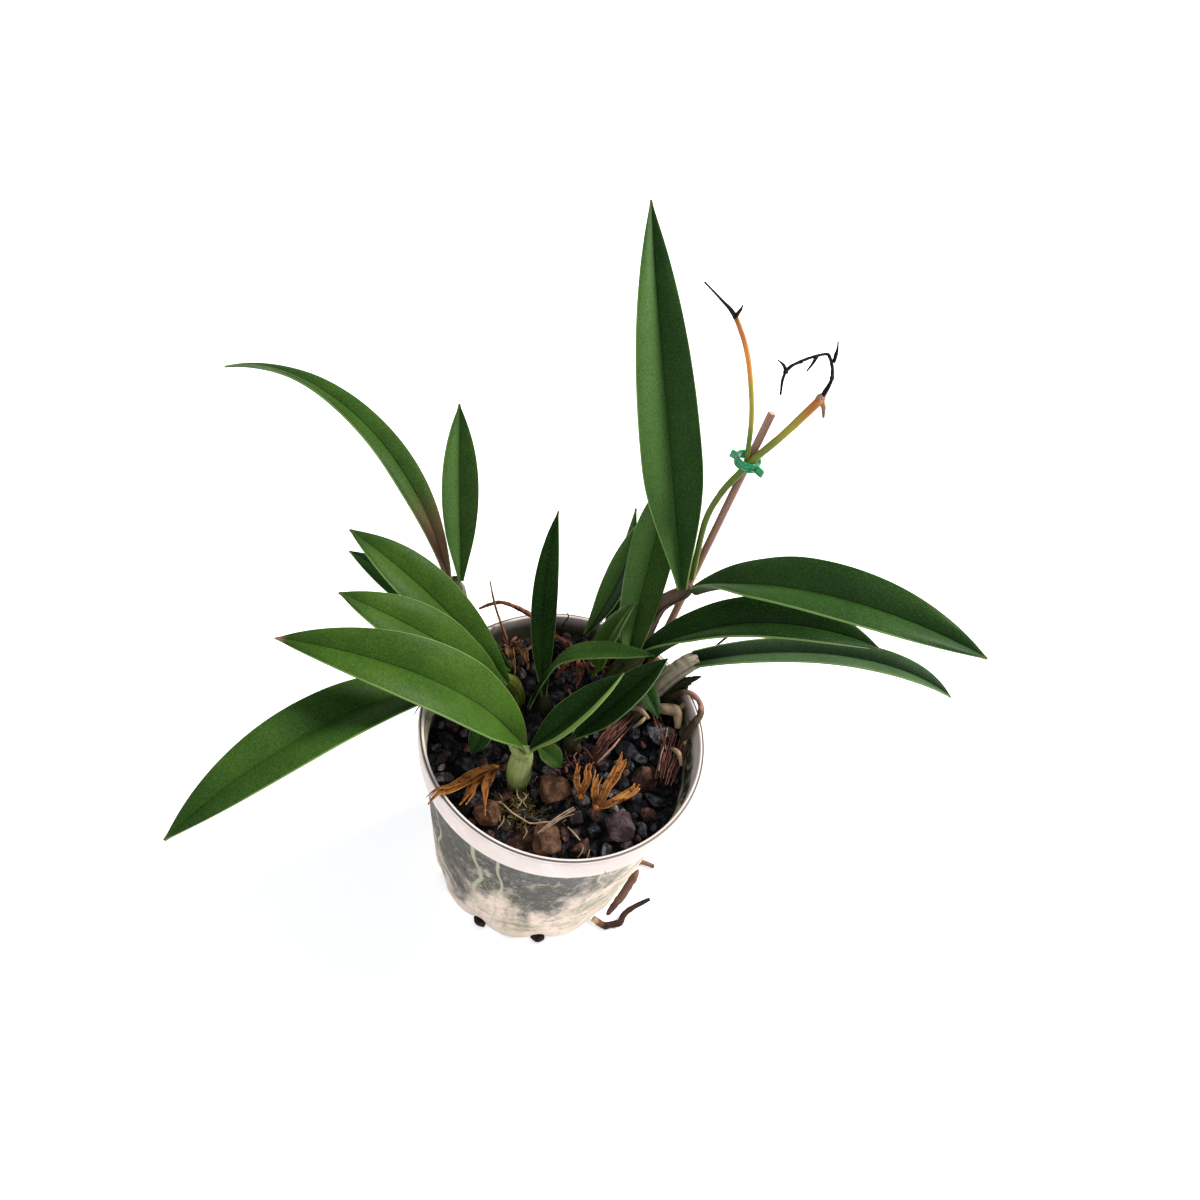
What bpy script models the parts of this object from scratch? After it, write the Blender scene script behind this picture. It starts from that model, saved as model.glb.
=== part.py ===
# A cattleya orchid in its clear plastic pot, with the stake and clip that hold its flower stem.
#
# Sizes are in millimetres and are turned into metres where a mesh is made. The origin is the centre of
# the pot's underside, +Z is up, and the plant leans out to both sides along X.
# Angles are in degrees. A heading is the compass turn of a leaf seen from above, 0 along +X and
# 90 along +Y. A rise is the slope of its midrib, 0 level and 90 straight up.

import math
import random

import bmesh
import bpy
from mathutils import Matrix, Vector, noise

MM = 0.001
CLEARANCE = 0.3

# The pot, a 12 cm clear orchid pot
POT_HEIGHT = 115.0
RIM_RADIUS = 60.0
LIP_RADIUS = 57.5
BAND_BOTTOM = 100.0
BAND_BOTTOM_RADIUS = 59.2
WALL_TOP_RADIUS = 57.0
BASE_RADIUS = 46.0
WALL = 1.2
FLOOR = 1.6
FOOT_ROUND = 1.2
POT_STEPS = 48
NOTCH_COUNT = 10
NOTCH_FIRST = 252.0
NOTCH_SIZE = (6.0, 7.0)

# The gravel that fills it, low at the front and heaped up at the back
FILL_FRONT = 96.5
FILL_HEAP = 9.0
FILL_HEAP_LENGTH = 50.0
FILL_STEPS = 36
FILL_GAP = 0.45
FILL_BUMP = 1.6
STONE_COUNT = 40
STONE_RADIUS = (3.6, 6.6)
STONE_CORNERS = 9
STONE_LIFT = (0.2, 2.0)

# Leaves
LEAF_THICKNESS = 2.0
LEAF_MARGIN = 0.45
LEAF_CELLS_ACROSS = 4
TIP_HALF_WIDTH = 0.5
DRY_CELLS_ACROSS = 2
DRY_THICKNESS = 0.9
# The fold at a leaf's base, and what keeps the wings of a narrow fold clear of each other
BASE_FOLD = 62.0
FOLD_CLEARANCE = 0.75
FOLD_ROOM = 0.9

# The stake, a wooden dowel that leans back behind the tall growth
STAKE_RADIUS = 1.6
STAKE_FOOT = (26.0, 40.0, 88.0)
STAKE_TOP = (42.5, 76.0, 243.5)
CLIP_HEIGHT = 222.5
CLIP_RING = (4.3, 5.2, 1.9)
CLIP_TABS = ((165.0, 4.2), (10.0, 2.8))


def clear_scene():
    for item in list(bpy.data.objects):
        bpy.data.objects.remove(item, do_unlink=True)


def collection(name):
    group = bpy.data.collections.new(name)
    bpy.context.scene.collection.children.link(group)
    return group


def material(name, colour, roughness, alpha=1.0):
    finish = bpy.data.materials.get(name)
    if finish:
        return finish
    finish = bpy.data.materials.new(name)
    finish.use_nodes = True
    finish.diffuse_color = (*colour, alpha)
    shader = finish.node_tree.nodes["Principled BSDF"]
    shader.inputs["Base Color"].default_value = (*colour, 1.0)
    shader.inputs["Roughness"].default_value = roughness
    shader.inputs["Metallic"].default_value = 0.0
    shader.inputs["Alpha"].default_value = alpha
    return finish


def mesh_object(name, mesh, group, finish=None):
    item = bpy.data.objects.new(name, mesh)
    group.objects.link(item)
    if finish:
        mesh.materials.clear()
        mesh.materials.append(finish)
    return item


def evaluated_mesh(item):
    graph = bpy.context.evaluated_depsgraph_get()
    return bpy.data.meshes.new_from_object(item.evaluated_get(graph))


def apply_modifiers(item):
    """Swap an object's mesh for the one its modifiers make."""
    bpy.context.view_layer.update()
    old = item.data
    item.data = evaluated_mesh(item)
    item.modifiers.clear()
    bpy.data.meshes.remove(old)


def weld(item, distance=0.01):
    shape = bmesh.new()
    shape.from_mesh(item.data)
    bmesh.ops.remove_doubles(shape, verts=shape.verts, dist=distance * MM)
    bmesh.ops.dissolve_degenerate(shape, edges=shape.edges, dist=distance * MM)
    bmesh.ops.triangulate(shape, faces=[f for f in shape.faces if len(f.verts) > 3])
    shape.to_mesh(item.data)
    shape.free()


def boolean(item, others, operation, solver="EXACT"):
    """One Boolean of an object with a whole collection, applied, and the collection's objects removed."""
    cut = item.modifiers.new(operation.title(), "BOOLEAN")
    cut.operation = operation
    cut.operand_type = "COLLECTION"
    cut.collection = others
    cut.solver = solver
    apply_modifiers(item)
    weld(item)
    for other in list(others.objects):
        bpy.data.objects.remove(other, do_unlink=True)


def direction(heading, rise):
    turn = math.radians(heading)
    slope = math.radians(rise)
    return Vector((math.cos(slope) * math.cos(turn), math.cos(slope) * math.sin(turn), math.sin(slope)))


def between(values, u):
    """Read a list of evenly spaced values at u from 0 to 1."""
    place = min(max(u, 0.0), 1.0) * (len(values) - 1)
    first = min(int(place), len(values) - 2)
    return values[first] + (values[first + 1] - values[first]) * (place - first)


def smooth_path(points, count):
    """Read count points from a smooth curve through the given ones; further numbers ride along."""
    ends = [points[0]] + list(points) + [points[-1]]
    path = []
    for step in range(count):
        place = step / (count - 1) * (len(points) - 1)
        first = min(int(place), len(points) - 2)
        t = place - first
        window = ends[first:first + 4]
        row = []
        for p0, p1, p2, p3 in zip(*window):
            bend = 2 * p0 - 5 * p1 + 4 * p2 - p3
            twist = 3 * (p1 - p2) + p3 - p0
            row.append(0.5 * (2 * p1 + (p2 - p0) * t + bend * t * t + twist * t ** 3))
        path.append(tuple(row))
    return path


def tube(name, points, count, group, finish=None, extra=0.0, resolution=2):
    """A round stem through (x, y, z, radius) points, as a closed mesh."""
    path = smooth_path(points, count)
    if extra:
        lead = (Vector(path[0][:3]) - Vector(path[1][:3])).normalized() * extra
        path[0] = (*(Vector(path[0][:3]) + lead), path[0][3])
    curve = bpy.data.curves.new(name, "CURVE")
    curve.dimensions = "3D"
    curve.bevel_depth = MM
    curve.bevel_resolution = resolution
    curve.use_fill_caps = True
    spline = curve.splines.new("POLY")
    spline.points.add(len(path) - 1)
    for point, (x, y, z, radius) in zip(spline.points, path):
        point.co = (x * MM, y * MM, z * MM, 1.0)
        point.radius = radius + extra
    holder = bpy.data.objects.new(name + "_curve", curve)
    group.objects.link(holder)
    bpy.context.view_layer.update()
    mesh = evaluated_mesh(holder)
    bpy.data.objects.remove(holder, do_unlink=True)
    bpy.data.curves.remove(curve)
    mesh.name = name
    item = mesh_object(name, mesh, group, finish)
    weld(item, 0.001)
    return item


def sheet(name, rows, cells_across, thickness, margin, group, finish=None):
    """A thin blade: each row is (centre, right side, left side, half width); both faces split alike.

    Where the fold is tight and narrow, the blade is thinned so that its wings stay clear of each other.
    """
    shape = bmesh.new()
    cells = len(rows) - 1
    bmesh.ops.create_grid(shape, x_segments=cells_across, y_segments=cells, size=0.5)
    weights = {}
    for vert in shape.verts:
        across = 2 * vert.co.x
        row = round((vert.co.y + 0.5) * cells)
        centre, right, left, half = rows[row]
        side = right if across > 0 else left
        vert.co = (centre + side * (half * abs(across))) * MM
        outer = abs(across) ** 2
        room = FOLD_ROOM * half * math.tan(right.angle(left) / 2) / thickness
        weights[vert.index] = min(room, 1 - (1 - margin) * max(outer, (row / cells) ** 6))
    bmesh.ops.triangulate(shape, faces=shape.faces, quad_method="FIXED")
    mesh = bpy.data.meshes.new(name)
    shape.to_mesh(mesh)
    shape.free()
    item = mesh_object(name, mesh, group, finish)
    thick = item.vertex_groups.new(name="thick")
    for index, weight in weights.items():
        thick.add([index], weight, "REPLACE")
    wall = item.modifiers.new("Blade", "SOLIDIFY")
    wall.thickness = thickness * MM
    wall.offset = 0.0
    wall.vertex_group = "thick"
    apply_modifiers(item)
    weld(item, 0.005)
    return item


def leaf_half_width(u, width, widest, neck, stalk):
    """Half the width at u from 0 at the base to 1 at the tip: a quick swell, then a long point."""
    swell = math.sin(math.pi / 2 * min(max(u - stalk, 0.0) / (widest - stalk), 1.0)) ** 1.1
    taper = 1 - max(0.0, (u - widest) / (1 - widest)) ** 2.2
    return max(width / 2 * (neck + (1 - neck) * swell) * taper, TIP_HALF_WIDTH)


def leaf(name, base, heading, rise, length, width, group, finish, sweep=0.0, widest=0.45,
         roll=(0.0, 0.0), fold=20.0, neck=0.28, stalk=0.0, cells=12):
    """A strap leaf, folded along its midrib, that starts at base and arches along its own length.

    The rises are its slopes at even steps from base to tip.
    """
    rows = []
    centre = Vector(base)
    substeps = 8
    for row in range(cells + 1):
        u = row / cells
        turn = heading + sweep * u
        along = direction(turn, between(rise, u))
        flat = Vector((math.sin(math.radians(turn)), -math.cos(math.radians(turn)), 0))
        upper = flat.cross(along)
        lean = math.radians(between(roll, u))
        side = flat * math.cos(lean) + upper * math.sin(lean)
        up = upper * math.cos(lean) - flat * math.sin(lean)
        half = leaf_half_width(u, width, widest, neck, stalk)
        gutter = math.radians(fold + (BASE_FOLD - fold) * max(0.0, 1 - u / 0.3) ** 1.5)
        gutter = min(gutter, math.atan(half / FOLD_CLEARANCE))
        right = side * math.cos(gutter) + up * math.sin(gutter)
        left = -side * math.cos(gutter) + up * math.sin(gutter)
        rows.append((centre.copy(), right, left, half))
        for part in range(substeps):
            v = u + (part + 0.5) / substeps / cells
            centre += direction(heading + sweep * v, between(rise, v)) * (length / cells / substeps)
    return sheet(name, rows, LEAF_CELLS_ACROSS, LEAF_THICKNESS, LEAF_MARGIN, group, finish)


def strip(name, points, group, finish=None, facing=(0, 0, 1), cells=8, curl=35.0):
    """A dry papery strip through (x, y, z, half width) points, cupped across its width."""
    path = smooth_path(points, cells + 1)
    rows = []
    for index, (x, y, z, half) in enumerate(path):
        before = Vector(path[max(index - 1, 0)][:3])
        after = Vector(path[min(index + 1, cells)][:3])
        along = (after - before).normalized()
        side = along.cross(Vector(facing)).normalized()
        up = side.cross(along)
        cup = math.radians(curl)
        right = side * math.cos(cup) + up * math.sin(cup)
        left = -side * math.cos(cup) + up * math.sin(cup)
        rows.append((Vector((x, y, z)), right, left, half))
    return sheet(name, rows, DRY_CELLS_ACROSS, DRY_THICKNESS, 0.9, group, finish)


def crown(name, centre, radius, group):
    """The small knot that a bunch of dry strips grows from."""
    shape = bmesh.new()
    bmesh.ops.create_icosphere(shape, subdivisions=1, radius=radius * MM)
    bmesh.ops.translate(shape, vec=Vector(centre) * MM, verts=shape.verts)
    mesh = bpy.data.meshes.new(name)
    shape.to_mesh(mesh)
    shape.free()
    return mesh_object(name, mesh, group)


def fused(name, items, group, finish, solver="EXACT"):
    """Join like pieces that grow from one spot into one body."""
    first = items[0]
    others = collection(name + "_others")
    for item in items[1:]:
        for home in list(item.users_collection):
            home.objects.unlink(item)
        others.objects.link(item)
    boolean(first, others, "UNION", solver)
    bpy.data.collections.remove(others)
    first.name = name
    first.data.name = name
    first.data.materials.clear()
    first.data.materials.append(finish)
    return first


def screw(name, profile, steps, group, finish=None):
    """A turned shape from (radius, height) points that run down its outer side."""
    mesh = bpy.data.meshes.new(name)
    verts = [(radius * MM, 0, height * MM) for radius, height in profile]
    mesh.from_pydata(verts, [(i, i + 1) for i in range(len(verts) - 1)], [])
    item = mesh_object(name, mesh, group, finish)
    turn = item.modifiers.new("Turn", "SCREW")
    turn.steps = steps
    turn.render_steps = steps
    turn.use_merge_vertices = True
    turn.merge_threshold = 0.00001
    turn.use_normal_calculate = False
    apply_modifiers(item)
    weld(item, 0.001)
    return item


def box(name, size, centre, turn, group):
    shape = bmesh.new()
    bmesh.ops.create_cube(shape, size=MM)
    bmesh.ops.scale(shape, vec=size, verts=shape.verts)
    bmesh.ops.rotate(shape, cent=(0, 0, 0), matrix=Matrix.Rotation(math.radians(turn), 3, "Z"),
                     verts=shape.verts)
    bmesh.ops.translate(shape, vec=Vector(centre) * MM, verts=shape.verts)
    mesh = bpy.data.meshes.new(name)
    shape.to_mesh(mesh)
    shape.free()
    return mesh_object(name, mesh, group)


def wall_inner_radius(height):
    """Radius of the pot's inner face at a height below the band."""
    slope = (WALL_TOP_RADIUS - BASE_RADIUS) / BAND_BOTTOM
    return BASE_RADIUS - WALL + slope * height


def fill_height(x, y):
    """Height of the gravel: low at the front, heaped up behind the middle."""
    t = min(max(y / FILL_HEAP_LENGTH, 0.0), 1.0)
    return FILL_FRONT + FILL_HEAP * t * t * (3 - 2 * t)


def build_pot(group, cutters):
    plastic = material("clear_plastic", (0.86, 0.82, 0.80), 0.35, 0.45)
    profile = [
        (0, FLOOR),
        (wall_inner_radius(FLOOR) - 1.0, FLOOR),
        (wall_inner_radius(FLOOR + 1.0), FLOOR + 1.0),
        (wall_inner_radius(50), 50),
        (wall_inner_radius(BAND_BOTTOM), BAND_BOTTOM),
        (LIP_RADIUS - 0.6, BAND_BOTTOM + 1.5),
        (LIP_RADIUS, POT_HEIGHT - 0.8),
        (LIP_RADIUS + 0.6, POT_HEIGHT),
        (RIM_RADIUS - 0.6, POT_HEIGHT),
        (RIM_RADIUS, POT_HEIGHT - 0.8),
        (BAND_BOTTOM_RADIUS, BAND_BOTTOM),
        (WALL_TOP_RADIUS, BAND_BOTTOM - 0.4),
        ((WALL_TOP_RADIUS + BASE_RADIUS) / 2, 50),
        (BASE_RADIUS, FOOT_ROUND),
        (BASE_RADIUS - FOOT_ROUND, 0),
        (0, 0),
    ]
    pot = screw("pot", profile, POT_STEPS, group, plastic)
    for index in range(NOTCH_COUNT):
        turn = NOTCH_FIRST + index * 360 / NOTCH_COUNT
        spot = Matrix.Rotation(math.radians(turn), 3,
                               "Z") @ Vector((BASE_RADIUS, 0, NOTCH_SIZE[1] / 2 - 2))
        box("notch", (8, NOTCH_SIZE[0], NOTCH_SIZE[1]), spot, turn, cutters)
    boolean(pot, cutters, "DIFFERENCE")
    return pot


def stone(name, centre, radius, seed, group, finish=None, flat=0.75, corners=STONE_CORNERS):
    """An angular stone: the hull of a few points strewn over a flattened ball."""
    draw = random.Random(seed)
    shape = bmesh.new()
    for _ in range(corners):
        spot = Vector((draw.gauss(0, 1), draw.gauss(0, 1), draw.gauss(0, 1))).normalized()
        spot.z *= flat
        shape.verts.new((Vector(centre) + spot * radius * draw.uniform(0.85, 1.0)) * MM)
    hull = bmesh.ops.convex_hull(shape, input=shape.verts)
    loose = [v for v in hull["geom_interior"] if isinstance(v, bmesh.types.BMVert)]
    bmesh.ops.delete(shape, geom=loose, context="VERTS")
    bmesh.ops.recalc_face_normals(shape, faces=shape.faces)
    mesh = bpy.data.meshes.new(name)
    shape.to_mesh(mesh)
    shape.free()
    return mesh_object(name, mesh, group, finish)


def strewn_places(count, seed):
    """Places for the stones, by a seeded draw that keeps them apart and off the wall."""
    draw = random.Random(seed)
    places = []
    tries = 0
    while len(places) < count and tries < 20000:
        tries += 1
        radius = draw.uniform(*STONE_RADIUS)
        reach = wall_inner_radius(FILL_FRONT) - radius - 1.5
        distance = reach * math.sqrt(draw.random())
        turn = draw.uniform(0, 2 * math.pi)
        x = distance * math.cos(turn)
        y = distance * math.sin(turn)
        near = [math.hypot(x - a, y - b) < 0.8 * (radius + c) for a, b, _, c in places]
        near += [math.hypot(x - a, y - b) < radius + c for a, b, c in KEPT_CLEAR]
        if not any(near):
            places.append((x, y, fill_height(x, y) + draw.uniform(*STONE_LIFT), radius))
    return places


def keep_largest(item):
    """Drop the loose scraps that a union or a cut leaves beside the main body."""
    shape = bmesh.new()
    shape.from_mesh(item.data)
    left = set(shape.verts)
    bodies = []
    while left:
        edge = [left.pop()]
        body = set(edge)
        while edge:
            for link in edge.pop().link_edges:
                for vert in link.verts:
                    if vert in left:
                        left.remove(vert)
                        body.add(vert)
                        edge.append(vert)
        bodies.append(body)
    bodies.sort(key=len)
    for body in bodies[:-1]:
        bmesh.ops.delete(shape, geom=list(body), context="VERTS")
    shape.to_mesh(item.data)
    shape.free()


def build_fill(group, cutters, holes):
    """The gravel, one body of core and dark stones, with a plain hole for whatever stands in it."""
    gravel = material("dark_gravel", (0.06, 0.055, 0.06), 0.85)
    top = FILL_FRONT
    reach = wall_inner_radius(top) - FILL_GAP
    profile = [(reach * part / 5, top) for part in range(5)]
    profile.append((reach - 0.6, top))
    profile.append((wall_inner_radius(top - 2) - FILL_GAP, top - 2))
    profile.append((wall_inner_radius(50) - FILL_GAP, 50))
    profile.append((wall_inner_radius(FLOOR + 1) - FILL_GAP - 0.4, FLOOR + 1.5))
    profile.append((wall_inner_radius(FLOOR) - 2.0, FLOOR + CLEARANCE))
    profile.append((0, FLOOR + CLEARANCE))
    core = screw("growing_medium", profile, FILL_STEPS, group, gravel)
    for vert in core.data.vertices:
        x, y, z = vert.co / MM
        if z > top - 0.5:
            bump = noise.noise(Vector((x, y, 0)) / 7) * FILL_BUMP
            vert.co.z = (fill_height(x, y) + (bump if math.hypot(x, y) < reach - 2 else 0)) * MM
            if z > top - 0.1 and math.hypot(x, y) > reach - 2:
                grow = min(wall_inner_radius(fill_height(x, y)) - FILL_GAP - 0.6,
                           LIP_RADIUS - 2) / math.hypot(x, y)
                vert.co.x *= grow
                vert.co.y *= grow
    stones = collection("stones")
    for index, (x, y, z, radius) in enumerate(strewn_places(STONE_COUNT, 11)):
        stone("stone", (x, y, z), radius, 100 + index, stones)
    for index, (x, y, z, radius) in enumerate(BACK_LUMPS):
        stone("lump", (x, y, z), radius, 300 + index, stones, flat=0.9, corners=22)
    boolean(core, stones, "UNION")
    bpy.data.collections.remove(stones)
    for hole in holes:
        for home in list(hole.users_collection):
            home.objects.unlink(hole)
        cutters.objects.link(hole)
    boolean(core, cutters, "DIFFERENCE")
    keep_largest(core)
    return core


# Spots where no stone lies, because a dry bunch, a root or a leaf joint sits there: x, y, radius
KEPT_CLEAR = [(-23, -21, 5), (-26, -30, 5), (21.5, -25, 4), (24, -17, 4), (14, -21, 4), (12, -14, 4),
              (-3, 39, 6), (3, 50, 6), (-33, 36.5, 5), (-26, 30, 5), (4.5, 39, 5), (19.5, 19, 4),
              (-18.5, 14, 4), (-4, -12, 4), (-22, -2, 4), (51, 16, 5), (42, 33, 4), (6, 5, 6)]

# Dark round lumps heaped against the back of the rim: x, y, z, radius
BACK_LUMPS = [(-9, 47.5, 107, 5.0), (-21, 42, 106, 5.5), (13, 48, 106.5, 4.5)]

# Bigger brown and purple stones: name, x, y, z, radius, flatness
BIG_STONES = [
    ("stone_tan_front", 2, -21, 99.5, 8.0, 0.7),
    ("stone_brown_left", -21, -38, 98.5, 7.0, 0.8),
    ("stone_brown_front", 5, -43, 98.5, 8.5, 0.55),
    ("stone_purple_right", 32, -26, 99.0, 8.5, 0.5),
    ("stone_grey_right", 41, 20, 101.0, 7.0, 0.7),
]

# Pseudobulbs and one old sheath, each through x, y, z, radius from its foot in the gravel to its top
BULBS = {
    "bulb_front": [(-13, -18, 88, 3.6), (-13, -18.5, 97, 5.2), (-13.5, -18, 105, 5.6),
                   (-13.5, -17, 111, 4.6), (-13.5, -16.5, 115.2, 3.2)],
    "bulb_left_outer": [(-27, 3, 86, 3.6), (-29, 3.5, 97, 4.8), (-32, 3.8, 110, 4.8), (-34, 4, 123, 3.2)],
    "bulb_left_inner": [(-22, 19, 88, 3.6), (-24, 18.5, 99, 4.4), (-26, 17, 109, 4.2),
                        (-27.5, 14.5, 116.5, 3.2)],
    "bulb_left_back": [(-35.5, 31, 88, 3.8), (-36.5, 29.5, 99, 4.2), (-40, 28, 111, 4.2),
                       (-45.5, 29.5, 120.3, 4.0), (-51.5, 33, 125.5, 4.0), (-56.5, 36, 131, 3.8),
                       (-58.3, 36.4, 138, 3.6), (-58.8, 33.8, 145, 3.0)],
    "bulb_centre": [(-11, 21, 88, 3.6), (-11, 20.5, 96, 4.4), (-11.5, 19, 102.5, 3.2)],
    "bulb_back": [(3, 46, 92, 3.6), (3, 47, 101, 4.4), (3, 49, 109.5, 3.2)],
    "bulb_right": [(14, 33, 88, 3.8), (15, 34, 104, 5.2), (18, 35.5, 118, 5.4), (21.5, 36.5, 129.5, 3.4)],
    "bulb_tall": [(17, 45, 92, 3.6), (19, 46.5, 108, 4.4), (21.5, 49, 128, 4.2), (24.5, 50.5, 148, 3.4),
                  (31.8, 48, 163.5, 2.8)],
    "bulb_leaning": [(24, 22, 90, 3.4), (28, 28, 101, 4.0), (33, 34, 111, 4.3), (38.5, 38.4, 119.8, 4.1),
                     (43.8, 42.4, 125.2, 3.5)],
    "bulb_new": [(6, 4, 88, 3.2), (5.5, 3, 97, 4.0), (4.3, 0.5, 105.2, 3.0)],
    "old_sheath_stub": [(33, 37.5, 94, 1.6), (35.5, 37.8, 104, 1.8), (39.8, 37.2, 110, 1.4),
                        (43.4, 36, 116.6, 1.0), (46.5, 36.4, 118.6, 0.6)],
}


def build_bulbs(parts, holders):
    colours = {
        "bulb_front": (0.42, 0.52, 0.22),
        "bulb_left_inner": (0.45, 0.52, 0.12),
        "bulb_leaning": (0.30, 0.34, 0.24),
        "bulb_tall": (0.24, 0.16, 0.10),
        "old_sheath_stub": (0.05, 0.09, 0.04),
    }
    holes = []
    for name, points in BULBS.items():
        finish = material(name + "_skin", colours.get(name, (0.18, 0.28, 0.10)), 0.5)
        tube(name, points, 2 * len(points) + 1, parts, finish)
        holes.append(tube(name + "_hole", points, 2 * len(points) + 1, holders, extra=CLEARANCE + 0.05))
    return holes


def build_leaves(parts):
    fresh = material("leaf_fresh", (0.11, 0.25, 0.05), 0.4)
    dark = material("leaf_dark", (0.03, 0.11, 0.03), 0.4)

    # Left side
    leaf("leaf_lower_left", (-37, 2.5, 125.5), 226.5, (41, -25), 145, 25.5, parts, dark, sweep=10,
         widest=0.54, roll=(-17, 14), fold=24)
    leaf("leaf_front_left", (-15.5, -17, 116.5), 202, (75, -9), 123, 29.5, parts, fresh, sweep=-19,
         widest=0.43, roll=(10, 10), fold=22)
    leaf("leaf_left_short", (-32, 5.2, 125.5), 199, (57, 15), 81, 23, parts, fresh, sweep=-19, widest=0.49,
         roll=(14, 8), fold=14)
    leaf("leaf_left_upper", (-29.5, 12, 118.8), 173, (55, 22), 93, 22, parts, fresh, sweep=-3,
         widest=0.56, roll=(12, 6), fold=18)
    leaf("leaf_left_under", (-29.5, 18.5, 118), 174, (40, -10), 86, 18, parts, dark, sweep=-19,
         roll=(0, 12), fold=18)
    leaf("leaf_arching_left", (-61, 31, 148), 135, (57, -32), 149, 14.2, parts, dark, sweep=36,
         widest=0.38, roll=(15, -30), fold=24)
    leaf("leaf_upright_left", (-57.5, 35, 148.6), 121, (69, 74), 79, 15.5, parts, dark, sweep=-2,
         widest=0.52, roll=(3, 3), cells=10)

    # Middle
    leaf("leaf_centre_upright", (-12, 18.5, 104.5), 123, (58, 54), 84, 11.5, parts, dark, sweep=-30,
         widest=0.5, roll=(6, 6), fold=21, cells=10)
    leaf("leaf_centre_bent", (-16.5, 13, 103.5), 47, (82, 77, 69, 6, 3, 14), 73.5, 9, parts, fresh,
         sweep=-44, widest=0.62, fold=22, stalk=0.32)
    leaf("leaf_back", (-1.5, 52.5, 111.5), 50, (64, 88), 71, 13.5, parts, dark, sweep=15, widest=0.5,
         fold=28, cells=10)
    leaf("leaf_back_narrow", (6, 54.5, 111.3), 84, (67, 41), 60, 7.5, parts, dark, sweep=16, fold=25,
         cells=8)
    leaf("leaf_back_small", (6.3, 35.4, 109), 40, (88, 72), 51, 14, parts, fresh, sweep=-20, widest=0.4,
         fold=19, neck=0.4, cells=8)
    leaf("leaf_broad_back", (17.2, 36.6, 131), 99, (59, 62), 80, 19.5, parts, dark, sweep=-12, widest=0.6,
         roll=(-6, 8), neck=0.54, cells=11)
    leaf("leaf_front_folded", (-10.5, -15, 116.5), 30, (54, 45), 53, 16, parts, fresh, sweep=15,
         widest=0.46, roll=(-4, 2), fold=37, neck=0.2, cells=8)
    leaf("leaf_new_dark", (5.6, 1.4, 107.5), 38, (50, 38), 53, 17, parts, dark, sweep=11, widest=0.48,
         fold=29, cells=9)
    leaf("leaf_new_round", (0, 11.2, 102.5), -27, (15, 0), 12, 7.5, parts, fresh, fold=25, cells=5)
    leaf("leaf_small_right", (24.2, 35.2, 113.5), -52, (14, -16), 21, 9, parts, fresh, fold=20, cells=6)
    leaf("leaf_front_small", (-8, -11, 113), -20, (5, -35), 12, 10.5, parts, fresh, fold=28, cells=5)
    leaf("leaf_drooping_left", (-30.8, -3.5, 109), 258, (5, -35), 15, 10, parts, dark, fold=22, cells=6)

    # Right side
    leaf("leaf_tall_right", (30.3, 47.8, 166.5), 128.3, (57, 33), 152, 27.5, parts, dark, sweep=-16,
         widest=0.36, roll=(26, 12), fold=30)
    leaf("leaf_arching_right", (36.5, 46.5, 166.5), -30, (60, -18), 126, 26.5, parts, dark, sweep=28,
         widest=0.44, roll=(0, -23), fold=26)
    leaf("leaf_low_right", (27.8, 35.4, 131.5), 1, (70, -8), 103, 24, parts, dark, sweep=-5, widest=0.5,
         roll=(15, -15), fold=29, neck=0.56, cells=12)
    leaf("leaf_edge_on_right", (47, 44.4, 124.2), 16, (26, -37), 128, 17, parts, dark, sweep=-5,
         widest=0.55, roll=(-19, -24), fold=50, neck=0.92)


def build_stake(parts, holders):
    wood = material("stake_wood", (0.42, 0.27, 0.22), 0.7)
    line = [(*STAKE_FOOT, STAKE_RADIUS), (*STAKE_TOP, STAKE_RADIUS)]
    tube("stake", line, 2, parts, wood, resolution=4)
    return [tube("stake_hole", line, 2, holders, extra=CLEARANCE + 0.05, resolution=4)]


def stake_at(height):
    t = (height - STAKE_FOOT[2]) / (STAKE_TOP[2] - STAKE_FOOT[2])
    return Vector(STAKE_FOOT).lerp(Vector(STAKE_TOP), t)


def build_clip(parts, cutters):
    """A sprung ring round stake and stem, with two flat finger tabs."""
    plastic = material("clip_plastic", (0.01, 0.42, 0.22), 0.25)
    middle = stake_at(CLIP_HEIGHT) + Vector((-0.7, -1.6, 0))
    lean = (Vector(STAKE_TOP) - Vector(STAKE_FOOT)).normalized().to_track_quat("Z", "Y")
    inner, outer, half = CLIP_RING
    profile = [(inner, half), (outer, half), (outer, 0.4), (outer - 0.4, 0.0), (outer, -0.4),
               (outer, -half), (inner, -half), (inner, half)]
    ring = screw("ring", profile, 16, parts)
    tabs = []
    for turn, length in CLIP_TABS:
        out = Matrix.Rotation(math.radians(turn), 3, "Z") @ Vector((outer + length / 2 - 0.8, 0, 0))
        tabs.append(box("tab", (length, 1.2, 2 * half - 0.6), out, turn, parts))
    clip = fused("clip", [ring] + tabs, parts, plastic)
    for vert in clip.data.vertices:
        vert.co = (lean @ (vert.co / MM) + middle) * MM
    return clip


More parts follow.
